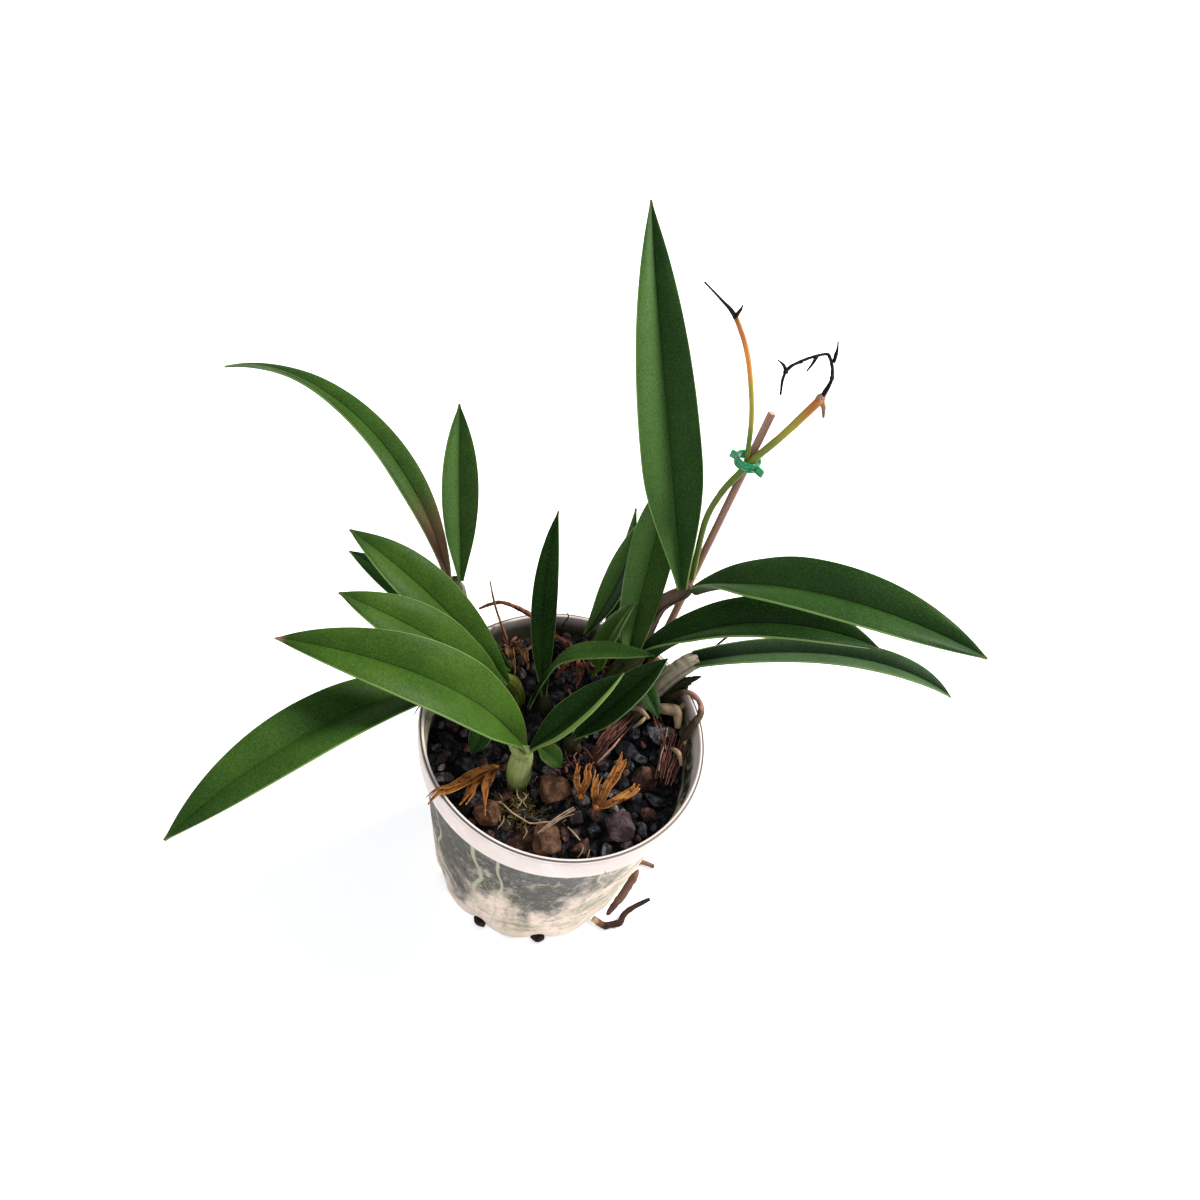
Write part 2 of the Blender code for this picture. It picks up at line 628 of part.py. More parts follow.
def build_flower_stem(parts):
    """The old flower stem: up through the clip, then two branches that have dried back to black tips."""
    green = material("flower_stem", (0.30, 0.36, 0.08), 0.5)
    main = [(33.5, 52.5, 167, 1.3), (32.5, 56, 178, 1.3), (31.5, 61, 195, 1.3), (34, 64.5, 208, 1.3),
            (38, 66.6, 218, 1.4), (41.8, 68.6, 226, 1.4), (49.5, 75, 236, 1.5), (58.5, 84, 249, 1.7)]
    black = [(58, 83.5, 248.5, 1.4), (60, 88, 256, 1.0), (57, 92, 262, 0.9), (54, 92, 262.5, 0.8),
             (47, 88, 260, 0.8), (42.5, 83.5, 257, 0.8), (43.5, 80, 249, 0.8)]
    thin = [(39.5, 67.5, 221, 1.0), (36, 72, 240, 1.0), (31.5, 77, 253, 1.0), (26, 79, 266, 1.0),
            (18.5, 79.5, 278, 1.1), (12, 80, 283, 0.8), (5, 82, 286.5, 0.6)]
    branches = [
        tube("main", main, 18, parts),
        tube("black", black, 15, parts, resolution=1),
        tube("thin", thin, 15, parts, resolution=1),
    ]
    bracts = [((58.5, 84, 249), (61.5, 80, 244)), ((58.8, 91.5, 260.5), (58, 96, 267)),
              ((52, 91, 262.3), (50, 86, 258)), ((42.7, 83.8, 257.3), (38.5, 84, 261)),
              ((18.5, 79, 278), (20, 78.5, 284))]
    for root, tip in bracts:
        branches.append(tube("bract", [(*root, 1.1), (*tip, 0.35)], 3, parts, resolution=0))
    return fused("flower_stem", branches, parts, green)


def build_dry_pieces(parts):
    orange = material("dry_sheath", (0.52, 0.24, 0.06), 0.8)
    brown = material("dry_brown", (0.20, 0.08, 0.05), 0.8)

    left = [
        crown("knot", (-23, -20, 104), 2.6, parts),
        strip("a", [(-23.3, -20.4, 104.8, 1.5), (-30, -29, 108, 3.2), (-37, -41, 114, 2.2),
                    (-40.5, -46, 118, 1.5), (-43, -49.5, 115, 0.6)], parts, cells=9),
        strip("b", [(-22.4, -20.6, 104.2, 1.4), (-24, -28, 107, 2.0), (-23.5, -34, 105.5, 1.6),
                    (-22, -39, 104, 0.6)], parts, cells=7),
        strip("c", [(-23.6, -20.9, 103.4, 1.6), (-28, -29, 105, 1.8), (-30, -36, 105, 2.0),
                    (-32, -41, 105, 0.7)], parts, cells=7),
    ]
    fused("dry_sheath_left", left, parts, orange)

    right = [
        crown("knot", (21.5, -25, 105), 2.6, parts),
        strip("a", [(21.7, -24.3, 105.4, 1.5), (23.5, -17, 109, 2.4), (27, -8, 111.5, 2.2),
                    (28, -3, 110, 0.6)], parts, cells=7),
        strip("b", [(22.3, -25.2, 104.8, 1.4), (28, -23, 108.5, 2.2), (33, -17, 110, 1.6),
                    (34, -12, 108, 0.6)], parts, cells=7),
        strip("c", [(20.6, -24.6, 104.7, 1.6), (18.5, -19, 108, 1.8), (18.5, -13, 109, 0.6)], parts,
              cells=6),
    ]
    fused("dry_sheath_right", right, parts, orange)

    fallen = [
        crown("knot", (14, -22, 104), 2.0, parts),
        strip("a", [(14.2, -21.5, 104.4, 1.3), (14.5, -16, 107, 1.8), (13.5, -11, 108, 1.4),
                    (14, -8, 107.5, 0.6)], parts, cells=7),
        strip("b", [(13.4, -21.8, 104.0, 1.2), (10.5, -16, 106.5, 1.6), (9.5, -11, 107, 0.6)], parts,
              cells=6),
    ]
    fused("dry_sheath_middle", fallen, parts, orange)

    arch = [
        crown("knot", (-3, 39, 110), 2.8, parts),
        tube("a", [(-3.5, 39.5, 110.5, 1.3), (-9, 42.5, 114.5, 1.3), (-16, 45, 115, 1.2),
                   (-27.7, 48, 120.5, 1.1), (-39.3, 48.5, 123, 1.0), (-45, 48, 120.5, 1.0),
                   (-50, 47, 116, 0.7)], 14, parts, resolution=1),
        strip("b", [(-3.8, 38.4, 110.3, 1.5), (-6, 35, 113, 2.0), (-8, 31, 112, 1.4), (-9, 28, 109, 0.6)],
              parts, cells=6),
        strip("c", [(-2.8, 38.2, 109.8, 1.4), (-1, 34, 113, 1.8), (0.5, 30, 111, 1.3), (0, 27, 108, 0.6)],
              parts, cells=6),
    ]
    fused("dry_stem_back", arch, parts, brown)

    tuft = [
        crown("knot", (-33, 36.5, 108.5), 2.6, parts),
        tube("a", [(-34, 37.5, 109.5, 1.0), (-36.5, 40, 114, 0.9), (-41.5, 44, 121, 0.8),
                   (-44.5, 46.5, 127, 0.7), (-47.5, 49.5, 134, 0.6)], 9, parts, resolution=1),
        strip("b", [(-33.2, 36, 109.2, 1.5), (-31.5, 31.5, 113, 2.2), (-30, 27.5, 112.5, 1.6),
                    (-29, 24.5, 109.5, 0.6)], parts, cells=6),
        strip("c", [(-32.2, 36, 108.8, 1.4), (-27.5, 34.5, 112.5, 2.0), (-24, 31, 111.5, 1.4),
                    (-22, 28.5, 109, 0.6)], parts, cells=6),
    ]
    fused("dry_sheath_back_left", tuft, parts, brown)


def build_roots(parts):
    """Roots that have left the gravel, at the rim, in the drain notches and along the table."""
    brown = material("root_brown", (0.28, 0.18, 0.11), 0.8)
    rim = [(40, 32, 110, 1.5), (43, 32.5, 115.5, 1.6), (48, 31, 120, 1.7), (53, 27, 119.7, 1.7),
           (53.7, 22, 118.5, 1.6), (51.3, 18, 114, 1.6), (50, 15.5, 108, 1.3)]
    tube("root_at_rim", rim, 14, parts, brown)
    table = [(37, -26.6, 2.4, 1.6), (40, -27.8, 2.0, 1.6), (43.5, -28.5, 1.9, 1.7), (46.5, -27, 1.8, 1.6),
             (50, -25, 1.8, 1.6), (51.5, -20, 1.7, 1.4), (55, -15.5, 1.6, 1.3), (58, -12.5, 1.4, 1.1),
             (62, -9, 1.2, 0.8)]
    tube("root_on_table", table, 20, parts, brown)
    side = [(43.3, -24, 4.5, 1.1), (44.3, -22.6, 9, 1.4), (47.3, -18, 18, 1.5), (49.6, -13, 27, 1.4),
            (51.2, -8.5, 35, 0.9)]
    tube("root_up_wall", side, 10, parts, brown)
    behind = [(45.5, 0.5, 2.4, 1.2), (48.5, 3.5, 1.8, 1.2), (54, 8.5, 1.6, 1.3), (61, 8.0, 1.4, 1.0)]
    tube("root_behind", behind, 10, parts, brown)
    for name, turn in (("root_tip_left", NOTCH_FIRST), ("root_tip_front", NOTCH_FIRST + 36)):
        out = direction(turn, 0)
        start = out * (BASE_RADIUS - 0.6) + Vector((0, 0, 2.6))
        end = out * (BASE_RADIUS + 3.5) + Vector((1.5, 0, 1.7))
        tube(name, [(*start, 1.3), (*((start + end) / 2), 1.5), (*end, 1.3)], 5, parts, brown)


def main():
    clear_scene()
    parts = collection("cattleya_orchid")
    cutters = collection("cutters")
    cutters.hide_render = True
    build_pot(parts, cutters)
    holes = build_bulbs(parts, cutters) + build_stake(parts, cutters)
    for name, x, y, z, radius, flat in BIG_STONES:
        seed = round(10 * (x + 60)) + round(y + 60)
        tint = (0.28, 0.14, 0.08) if "purple" not in name and "grey" not in name else (0.12, 0.09, 0.10)
        stone(name, (x, y, z), radius, seed, parts, material(name + "_skin", tint, 0.85), flat, 18)
        holes.append(stone(name + "_hole", (x, y, z), radius, seed, cutters, None, flat, 18))
        swell = 1 + FILL_GAP / (radius * flat)
        for vert in holes[-1].data.vertices:
            vert.co = (Vector((x, y, z)) + (vert.co / MM - Vector((x, y, z))) * swell) * MM
    build_fill(parts, cutters, holes)
    build_leaves(parts)
    build_clip(parts, cutters)
    build_flower_stem(parts)
    build_dry_pieces(parts)
    build_roots(parts)


main()
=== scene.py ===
import math
import random

import bpy
from mathutils import Matrix, Vector, noise


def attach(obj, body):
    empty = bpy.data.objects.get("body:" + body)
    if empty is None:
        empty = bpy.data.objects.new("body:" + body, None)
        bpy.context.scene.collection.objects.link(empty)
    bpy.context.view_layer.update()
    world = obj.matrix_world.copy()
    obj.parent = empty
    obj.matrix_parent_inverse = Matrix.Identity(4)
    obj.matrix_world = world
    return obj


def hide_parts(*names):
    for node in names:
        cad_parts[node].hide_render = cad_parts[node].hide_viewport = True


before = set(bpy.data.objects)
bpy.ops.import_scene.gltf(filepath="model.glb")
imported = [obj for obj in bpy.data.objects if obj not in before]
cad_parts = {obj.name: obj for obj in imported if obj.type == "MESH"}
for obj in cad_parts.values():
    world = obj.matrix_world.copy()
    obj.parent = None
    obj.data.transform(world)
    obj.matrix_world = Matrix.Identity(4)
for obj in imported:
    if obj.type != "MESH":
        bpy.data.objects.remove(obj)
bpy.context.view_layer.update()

# The pot. A clear plastic orchid pot moulded in one piece: a thin tapered wall, a deep rim band with a groove
# in its top, and short feet with drain slots between them. Lime, roots and green algae show through its wall.
MM = 0.001
POT_TOP = 115.0
POT_PROFILE = [
    (0, 1.6), (43.6, 1.6), (44.9, 2.6), (46.0, 12), (47.4, 24), (50.4, 50), (53.2, 76), (55.8, 100), (56.6, 101),
    (56.9, 101.8), (57.5, 113.8), (57.7, 114.7), (58.1, POT_TOP), (58.6, 114.95), (58.75, 114.2), (59.0, 114.1),
    (59.25, 114.6), (59.7, 114.5), (59.95, 113.9), (60.0, 113.2), (59.6, 107), (59.3, 101), (59.0, 100.2),
    (58.2, 99.8), (57.2, 99.6), (56.9, 99.2), (54.2, 76), (51.5, 50), (48.6, 24), (47.2, 12), (46.2, 2.4),
    (45.6, 0.6), (44.8, 0), (40.5, 0), (40, 0.5), (0, 0.5)]
POT_STEPS = 180
SLOT_COUNT = 10
SLOT_FIRST = 252.0
SLOT_RADIUS, SLOT_HEIGHT, SLOT_SIZE = 43.5, 2.2, (9, 5.6, 5.2)
FOOT_DENT = 2.6
FOOT_DENT_HEIGHT = 17.0
FOOT_DENT_SPREAD = 6.5
WALL_FROM = 39
RIB_COUNT = 18
RIB_FIRST = 7
RIB_RADIUS, RIB_HEIGHT, RIB_SIZE = 57.1, 98.6, (1.2, 0.5, 2.4)
# Pale roots pressed against the wall inside: turn in degrees, half width, how far each wanders
WALL_ROOTS = [(247, 0.016, 0.10), (259, 0.010, 0.07), (219, 0.012, 0.12), (304, 0.010, 0.16), (330, 0.014, 0.12)]


def new_finish(name, colour, roughness, gloss=0.5, coat=0.0):
    finish = bpy.data.materials.new(name)
    finish.use_nodes = True
    shader = finish.node_tree.nodes["Principled BSDF"]
    shader.inputs["Base Color"].default_value = (*colour, 1)
    shader.inputs["Roughness"].default_value = roughness
    shader.inputs["Specular IOR Level"].default_value = gloss
    shader.inputs["Coat Weight"].default_value = coat
    return finish, shader


def node(near, kind, values, **settings):
    """Add a shader node to the tree that near is in; a value that is a socket is linked, any other is set."""
    tree = near.id_data
    made = tree.nodes.new("ShaderNode" + kind)
    for key, value in settings.items():
        setattr(made, key, value)
    for key, value in values.items():
        if isinstance(value, bpy.types.NodeSocket):
            tree.links.new(value, made.inputs[key])
        elif made.inputs[key].type == "RGBA":
            made.inputs[key].default_value = (*value, 1)
        else:
            made.inputs[key].default_value = value
    return made


def spots(shader):
    """Where a point lies: in space, and on the sheet that a piece was bent from."""
    where = node(shader, "TexCoord", {})
    return where.outputs["Object"], where.outputs["UV"]


def axes(vector):
    return node(vector, "SeparateXYZ", {"Vector": vector}).outputs[:]


def clouds(place, scale, detail=4.0, roughness=0.55, distortion=0.0):
    values = {"Vector": place, "Scale": scale, "Detail": detail, "Roughness": roughness, "Distortion": distortion}
    return node(place, "TexNoise", values).outputs["Fac"]


def stretched(place, scale):
    return node(place, "Mapping", {"Vector": place, "Scale": scale}).outputs["Vector"]


def span(value, low, high):
    """A mask that climbs smoothly from 0 at low to 1 at high."""
    values = {"Value": value, "From Min": low, "From Max": high}
    return node(value, "MapRange", values, interpolation_type="SMOOTHSTEP").outputs["Result"]


def calc(operation, first, second=0.0):
    return node(first, "Math", {0: first, 1: second}, operation=operation).outputs["Value"]


def times(first, second):
    return calc("MULTIPLY", first, second)


def plus(first, second):
    return calc("ADD", first, second)


def paint(body, *coats):
    """Lay colours over body in turn, each where its value climbs from low to high, and by its amount."""
    for value, low, high, amount, colour in coats:
        mask = span(value, low, high)
        mask = mask if amount == 1 else times(mask, amount)
        body = node(mask, "Mix", {0: mask, 6: body, 7: colour}, data_type="RGBA").outputs[2]
    return body


def dress(shader, body, height=None, strength=0.0, distance=0.0, roughness=None):
    """Give a shader its painted colour, and a fine relief and roughness where there are any."""
    links = shader.id_data.links
    links.new(body, shader.inputs["Base Color"])
    if height:
        bump = node(shader, "Bump", {"Height": height, "Strength": strength, "Distance": distance})
        links.new(bump.outputs["Normal"], shader.inputs["Normal"])
    if roughness:
        links.new(roughness, shader.inputs["Roughness"])


def pick(*pieces):
    bpy.ops.object.select_all(action="DESELECT")
    for piece in pieces:
        piece.select_set(True)
    bpy.context.view_layer.objects.active = pieces[0]


def close_up(piece, threshold=0.000002):
    """Weld the seam and the pinched ends, and turn every face outwards."""
    pick(piece)
    bpy.ops.object.mode_set(mode="EDIT")
    bpy.ops.mesh.select_all(action="SELECT")
    bpy.ops.mesh.remove_doubles(threshold=threshold)
    bpy.ops.mesh.normals_make_consistent(inside=False)
    bpy.ops.object.mode_set(mode="OBJECT")


def turned(name, profile, steps):
    """Draw a (radius, height) outline in millimetres by extruding a point, and spin it round the Z axis."""
    bpy.ops.mesh.primitive_plane_add(size=MM)
    piece = bpy.context.object
    piece.name = name
    bpy.ops.object.mode_set(mode="EDIT")
    bpy.ops.mesh.select_all(action="SELECT")
    bpy.ops.mesh.merge(type="CENTER")
    bpy.ops.transform.translate(value=(profile[0][0] * MM, 0, profile[0][1] * MM))
    for (r0, z0), (r1, z1) in zip(profile, profile[1:]):
        step = ((r1 - r0) * MM, 0, (z1 - z0) * MM)
        bpy.ops.mesh.extrude_region_move(TRANSFORM_OT_translate={"value": step})
    bpy.ops.mesh.select_all(action="SELECT")
    bpy.ops.mesh.spin(steps=steps, angle=2 * math.pi, center=(0, 0, 0), axis=(0, 0, 1))
    bpy.ops.object.mode_set(mode="OBJECT")
    close_up(piece, 0.00001)
    return piece


def join(name, pieces):
    pick(*pieces)
    if len(pieces) > 1:
        bpy.ops.object.join()
    pieces[0].name = name
    return pieces[0]


def block(radius, turn, height, size):
    """A box of size (out, across, up) in millimetres, at a radius and a turn in degrees."""
    turn = math.radians(turn)
    spot = (radius * math.cos(turn) * MM, radius * math.sin(turn) * MM, height * MM)
    bpy.ops.mesh.primitive_cube_add(size=1, location=spot, rotation=(0, 0, turn))
    piece = bpy.context.object
    piece.scale = [length * MM for length in size]
    pick(piece)
    bpy.ops.object.transform_apply(location=True, rotation=True, scale=True)
    return piece


def settle(piece, finish, slot, *nodes, angle=None):
    """Shade a finished piece smooth, give it its material, let it ride with the plant and stand for its solids."""
    pick(piece)
    if angle is None:
        bpy.ops.object.shade_smooth()
    else:
        bpy.ops.object.shade_smooth_by_angle(angle=math.radians(angle))
    piece.data.materials.clear()
    piece.data.materials.append(finish)
    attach(piece, "root")
    if nodes:
        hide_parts(*nodes)


pot = turned("clear_pot", POT_PROFILE, POT_STEPS)
pitch = 360 / SLOT_COUNT
for vert in pot.data.vertices:
    turn = math.degrees(math.atan2(vert.co.y, vert.co.x))
    off = (turn - SLOT_FIRST + pitch / 2) % pitch - pitch / 2
    rise = max(0.0, 1 - vert.co.z / (FOOT_DENT_HEIGHT * MM))
    radius = math.hypot(vert.co.x, vert.co.y)
    if radius > WALL_FROM * MM and rise > 0:
        dent = FOOT_DENT * MM * rise ** 1.5 * math.exp(-(off / FOOT_DENT_SPREAD) ** 2)
        vert.co.x *= 1 - dent / radius
        vert.co.y *= 1 - dent / radius
cutter = join("slot_cutter", [block(SLOT_RADIUS, SLOT_FIRST + index * pitch, SLOT_HEIGHT, SLOT_SIZE)
                              for index in range(SLOT_COUNT)])
cut = pot.modifiers.new("Slots", "BOOLEAN")
cut.object = cutter
cut.solver = "EXACT"
pick(pot)
bpy.ops.object.modifier_apply(modifier="Slots")
bpy.data.objects.remove(cutter, do_unlink=True)
pot = join("clear_pot", [pot] + [block(RIB_RADIUS, RIB_FIRST + index * 360 / RIB_COUNT, RIB_HEIGHT, RIB_SIZE)
                                 for index in range(RIB_COUNT)])

plastic, shader = new_finish("clear_plastic", (0.8, 0.76, 0.7), 0.33, 0.25)
place, _ = spots(shader)
x, y, height = axes(place)
reach = calc("SQRT", plus(times(x, x), times(y, y)))
turn_round = calc("ARCTAN2", y, x)
drift = clouds(stretched(place, (1, 1, 0.6)), 26, 9, 0.66, 0.5)
wet = clouds(stretched(place, (1, 1, 0.75)), 75, 9, 0.68, 0.4)
grime = clouds(place, 330, 6, 0.72)
blots = clouds(place, 150, 7, 0.7, 0.6)
lime = paint((0.74, 0.58, 0.50), (wet, 0.36, 0.64, 1, (0.50, 0.43, 0.31)),
             (grime, 0.50, 0.66, 0.5, (0.38, 0.40, 0.26)))
soil = paint((0.018, 0.019, 0.024), (wet, 0.42, 0.66, 1, (0.050, 0.060, 0.036)),
             (grime, 0.50, 0.68, 0.6, (0.24, 0.24, 0.19)))
patch = plus(plus(drift, times(wet, 0.35)), plus(times(x, -2.6), times(height, 4.2)))
body = paint(lime, (patch, 0.78, 1.0, 1, soil), (blots, 0.52, 0.60, 0.45, (0.10, 0.080, 0.058)),
             (blots, 0.46, 0.38, 0.35, (0.62, 0.50, 0.40)),
             # Painted shade: the left of the wall, away from the light, is darkened to brown in patches.
             (x, -0.012, -0.045, times(span(wet, 0.34, 0.60), 0.65), (0.075, 0.052, 0.036)))
lazy = calc("SUBTRACT", clouds(stretched(place, (0.2, 0.2, 1)), 21, 2), 0.5)
shown = times(span(wet, 0.30, 0.46), 0.75)
for turn, half_width, wander in WALL_ROOTS:
    middle = (math.radians(turn) + math.pi) % (2 * math.pi) - math.pi
    off = calc("ABSOLUTE", calc("SUBTRACT", plus(turn_round, times(lazy, wander * 4)), middle))
    body = paint(body, (off, half_width * 1.8, half_width * 0.5, shown, (0.42, 0.43, 0.28)))
band = paint((0.72, 0.61, 0.57), (wet, 0.4, 0.7, 1, (0.80, 0.72, 0.69)))
# Painted shade: a grey line round the groove in the top of the rim, where shade falls in it.
groove_shade = times(span(reach, 0.05950, 0.05930), span(height, 0.1138, 0.1140))
algae = paint((0.62, 0.54, 0.38), (wet, 0.40, 0.58, 1, (0.22, 0.24, 0.11)),
              (plus(wet, times(grime, 0.5)), 0.74, 0.84, 1, (0.030, 0.026, 0.020)))
stain = plus(times(drift, 0.030), 0.0920)
top = span(height, 0.0950, 0.0960)
dirt = times(top, span(calc("SUBTRACT", height, stain), 0.004, -0.004))
shaded = times(times(top, span(y, 0.018, 0.034)), 0.88)
body = paint(body, (height, 0.018, 0.002, 0.75, (0.74, 0.60, 0.51)),
             (height, 0.0022, 0.0008, span(wet, 0.50, 0.58), (0.05, 0.03, 0.025)), (height, 0.0975, 0.0995, 1, band),
             (reach, 0.05845, 0.05860, groove_shade, (0.27, 0.25, 0.24)), (reach, 0.0582, 0.0577, dirt, algae),
             (reach, 0.0576, 0.0572, shaded, (0.030, 0.020, 0.014)))
dress(shader, body, wet, 0.12, 0.001, span(plus(times(wet, 0.3), 0.1), -0.2, 0.6))
settle(pot, plastic, "pot_plastic", "pot", angle=35)

# The growing medium. Dark lava gravel and bark chips poured round the roots, low in front and heaped behind,
# with a few larger brown and purple stones. Every stone is angular, rough and loose; the gaps are near black,
# partly from their own dark bark and grit and partly as painted shade.
FILL_FRONT = 96.5
FILL_HEAP = 9.0
BED_RADIUS, BED_FOOT = 54.6, 44.0
STONE_SHAPES = 7
# Loose stones, the large ones first: up to which count, and the least and the most radius
STONE_SIZES = [(30, 5.2, 7.4), (110, 3.4, 5.2), (200, 2.0, 3.4), (300, 1.3, 2.2)]
LARGE_STONES, LOOSE_STONES = STONE_SIZES[0][0], STONE_SIZES[-1][0]
BIG_STONES = [
    ("stone_tan_front", (2, -21, 99.5), 8.0, 0.7, 1), ("stone_brown_left", (-21, -38, 98.5), 7.0, 0.8, 2),
    ("stone_brown_front", (5, -43, 98.5), 8.5, 0.55, 3), ("stone_purple_right", (32, -26, 99.0), 8.5, 0.5, 4),
    ("stone_grey_right", (41, 20, 101.0), 7.0, 0.7, 5)]
BACK_LUMPS = [(-9, 47, 110, 5.2), (-20.5, 43, 109, 5.4), (13, 48, 107, 4.5), (-31, 39, 106.5, 4.6), (-2, 50, 107, 3.6)]


def fill_height(x, y):
    """Height of the gravel, as in the solid: low at the front, heaped up behind the middle."""
    t = min(max(y / 50.0, 0.0), 1.0)
    return FILL_FRONT + FILL_HEAP * t * t * (3 - 2 * t)


def rock(name, cuts, seed, flat=0.8, facets=12, rough=0.10):
    """One angular stone of radius 1 round the origin: a ball, pared by flat cuts, then roughened."""
    bpy.ops.mesh.primitive_ico_sphere_add(subdivisions=cuts, radius=1)
    piece = bpy.context.object
    piece.name = name
    draw = random.Random(seed)
    pares = []
    for _ in range(facets):
        normal = Vector((draw.gauss(0, 1), draw.gauss(0, 1), draw.gauss(0, 1))).normalized()
        pares.append((normal, draw.uniform(0.50, 0.80)))
    offset = Vector((seed * 3.1, seed * 1.7, 0))
    for vert in piece.data.vertices:
        spot = vert.co.copy()
        for normal, depth in pares:
            over = spot.dot(normal) - depth
            if over > 0:
                spot -= normal * over * 0.97
        spot *= 1 + rough * noise.noise(vert.co * 2.2 + offset) + 0.5 * rough * noise.noise(vert.co * 6 + offset)
        spot.z *= flat
        vert.co = spot
    return piece


def rock_at(centre, radius, *shape):
    """A rock of that shape, at its place and size in millimetres."""
    piece = rock(*shape)
    piece.data.transform(Matrix.Translation(Vector(centre) * MM) @ Matrix.Scale(radius * MM, 4))
    return piece


def shade_of(piece, value):
    """Note how light a stone or strand is, for the material to read."""
    note = piece.data.attributes.new("shade", "FLOAT", "POINT")
    note.data.foreach_set("value", [value] * len(piece.data.vertices))


def shade_note(shader):
    return node(shader, "Attribute", {}, attribute_name="shade").outputs["Fac"]


bpy.ops.mesh.primitive_circle_add(vertices=72, radius=BED_RADIUS * MM, fill_type="TRIFAN", location=(0, 0, 0))
bed = bpy.context.object
bed.name = "gravel_bed"
bpy.ops.object.mode_set(mode="EDIT")
bpy.ops.mesh.select_all(action="SELECT")
bpy.ops.mesh.subdivide(number_cuts=14)
bpy.ops.mesh.extrude_region_move(TRANSFORM_OT_translate={"value": (0, 0, 1 * MM)})
bpy.ops.object.mode_set(mode="OBJECT")
for vert in bed.data.vertices:
    x, y = vert.co.x / MM, vert.co.y / MM
    if vert.co.z > 0.5 * MM:
        grit = 1.6 * noise.noise(Vector((x, y, 3)) / 3.0) + 0.8 * noise.noise(Vector((x, y, 9)) / 1.1)
        vert.co.z = (fill_height(x, y) - 3.2 + grit) * MM
    else:
        squeeze = BED_FOOT / BED_RADIUS
        vert.co = Vector((x * squeeze, y * squeeze, 2.6)) * MM
close_up(bed)
# The bed is noted darkest, so it is near black: partly its own dark bark and grit, partly painted shade in the gaps.
shade_of(bed, 0.05)

shapes = [rock(f"stone_shape_{index}", 2, 20 + index, 0.85, 9, 0.16) for index in range(STONE_SHAPES)]
large_shapes = [rock(f"large_shape_{index}", 3, 30 + index, 0.85, 11, 0.10) for index in range(STONE_SHAPES)]
draw = random.Random(7)
stones = []
taken = [(centre[0], centre[1], radius * 0.85) for _, centre, radius, _, _ in BIG_STONES]
tries = 0
while len(stones) < LOOSE_STONES and tries < 30000:
    tries += 1
    least, most = next(sizes for count, *sizes in STONE_SIZES if len(stones) < count)
    radius = draw.uniform(least, most)
    distance = (54.2 - radius) * math.sqrt(draw.random())
    turn = draw.uniform(0, 2 * math.pi)
    x, y = distance * math.cos(turn), distance * math.sin(turn)
    if any(math.hypot(x - a, y - b) < 0.78 * (radius + c) for a, b, c in taken):
        continue
    taken.append((x, y, radius))
    stones.append((x, y, fill_height(x, y) - 0.40 * radius + draw.uniform(-1.2, 1.2), radius))
copies = []
for index, (x, y, z, radius) in enumerate(stones + BACK_LUMPS):
    source = (large_shapes if index < LARGE_STONES or index >= len(stones) else shapes)[index % STONE_SHAPES]
    copy = source.copy()
    copy.data = source.data.copy()
    bpy.context.scene.collection.objects.link(copy)
    spin = Matrix.Rotation(draw.uniform(0, 6.28), 4, "Z") @ Matrix.Rotation(draw.uniform(-0.6, 0.6), 4, "X")
    size = Matrix.Diagonal((draw.uniform(0.85, 1.25), draw.uniform(0.62, 1.0), draw.uniform(0.75, 1.0), 1))
    copy.data.transform(Matrix.Translation(Vector((x, y, z)) * MM) @ spin @ size @ Matrix.Scale(radius * MM, 4))
    shade_of(copy, draw.random())
    copies.append(copy)
for shape in shapes + large_shapes:
    bpy.data.objects.remove(shape, do_unlink=True)
gravel = join("gravel", [bed] + copies)

stone_skin, shader = new_finish("dark_stone", (0.03, 0.03, 0.035), 0.62, 0.12)
place, _ = spots(shader)
shade = shade_note(shader)
crust = clouds(place, 260, 6, 0.7)
pits = clouds(place, 1100, 3, 0.7)
low = paint((0.003, 0.003, 0.004), (shade, 0.2, 0.7, 1, (0.013, 0.013, 0.018)),
            (shade, 0.60, 0.64, 1, (0.034, 0.015, 0.012)), (shade, 0.78, 0.81, 1, (0.030, 0.020, 0.024)),
            (shade, 0.92, 0.95, 1, (0.050, 0.046, 0.042)))
high = paint((0.030, 0.028, 0.033), (shade, 0.1, 0.6, 1, (0.125, 0.125, 0.142)),
             (shade, 0.60, 0.64, 1, (0.150, 0.072, 0.052)), (shade, 0.78, 0.81, 1, (0.115, 0.080, 0.086)),
             (shade, 0.92, 0.95, 1, (0.24, 0.22, 0.20)))
# Painted shade: stone faces that turn away from the sky, the sides and undersides, are darkened nearly to black.
_, _, facing = axes(node(shader, "NewGeometry", {}).outputs["Normal"])
body = paint(low, (crust, 0.44, 0.64, 1, high), (facing, 0.72, 0.0, 0.93, (0.002, 0.002, 0.002)))
dress(shader, body, plus(crust, times(pits, 0.4)), 0.7, 0.0012, span(pits, -0.3, 0.8))
settle(gravel, stone_skin, "gravel", "growing_medium", angle=22)

BROWN = [(0.050, 0.022, 0.012), (0.160, 0.078, 0.042), (0.014, 0.008, 0.006)]
PURPLE = [(0.030, 0.016, 0.020), (0.095, 0.060, 0.064), (0.008, 0.005, 0.006)]
GREY = [(0.045, 0.046, 0.052), (0.190, 0.190, 0.200), (0.010, 0.010, 0.012)]
for name, centre, radius, flat, seed in BIG_STONES:
    stone = rock_at(centre, radius, name + "_rough", 5, 40 + seed, flat, 12, 0.09)
    under, over, gaps = PURPLE if "purple" in name else GREY if "grey" in name else BROWN
    skin, shader = new_finish(name + "_skin", under, 0.7, 0.2)
    place, _ = spots(shader)
    crust = clouds(place, 240, 6, 0.68)
    body = paint(under, (crust, 0.42, 0.62, 1, over), (clouds(place, 620, 4, 0.7), 0.58, 0.72, 1, gaps))
    dress(shader, body, crust, 0.6, 0.0012)
    settle(stone, skin, "brown_stone" if under == BROWN[0] else "grey_stone", name, angle=22)

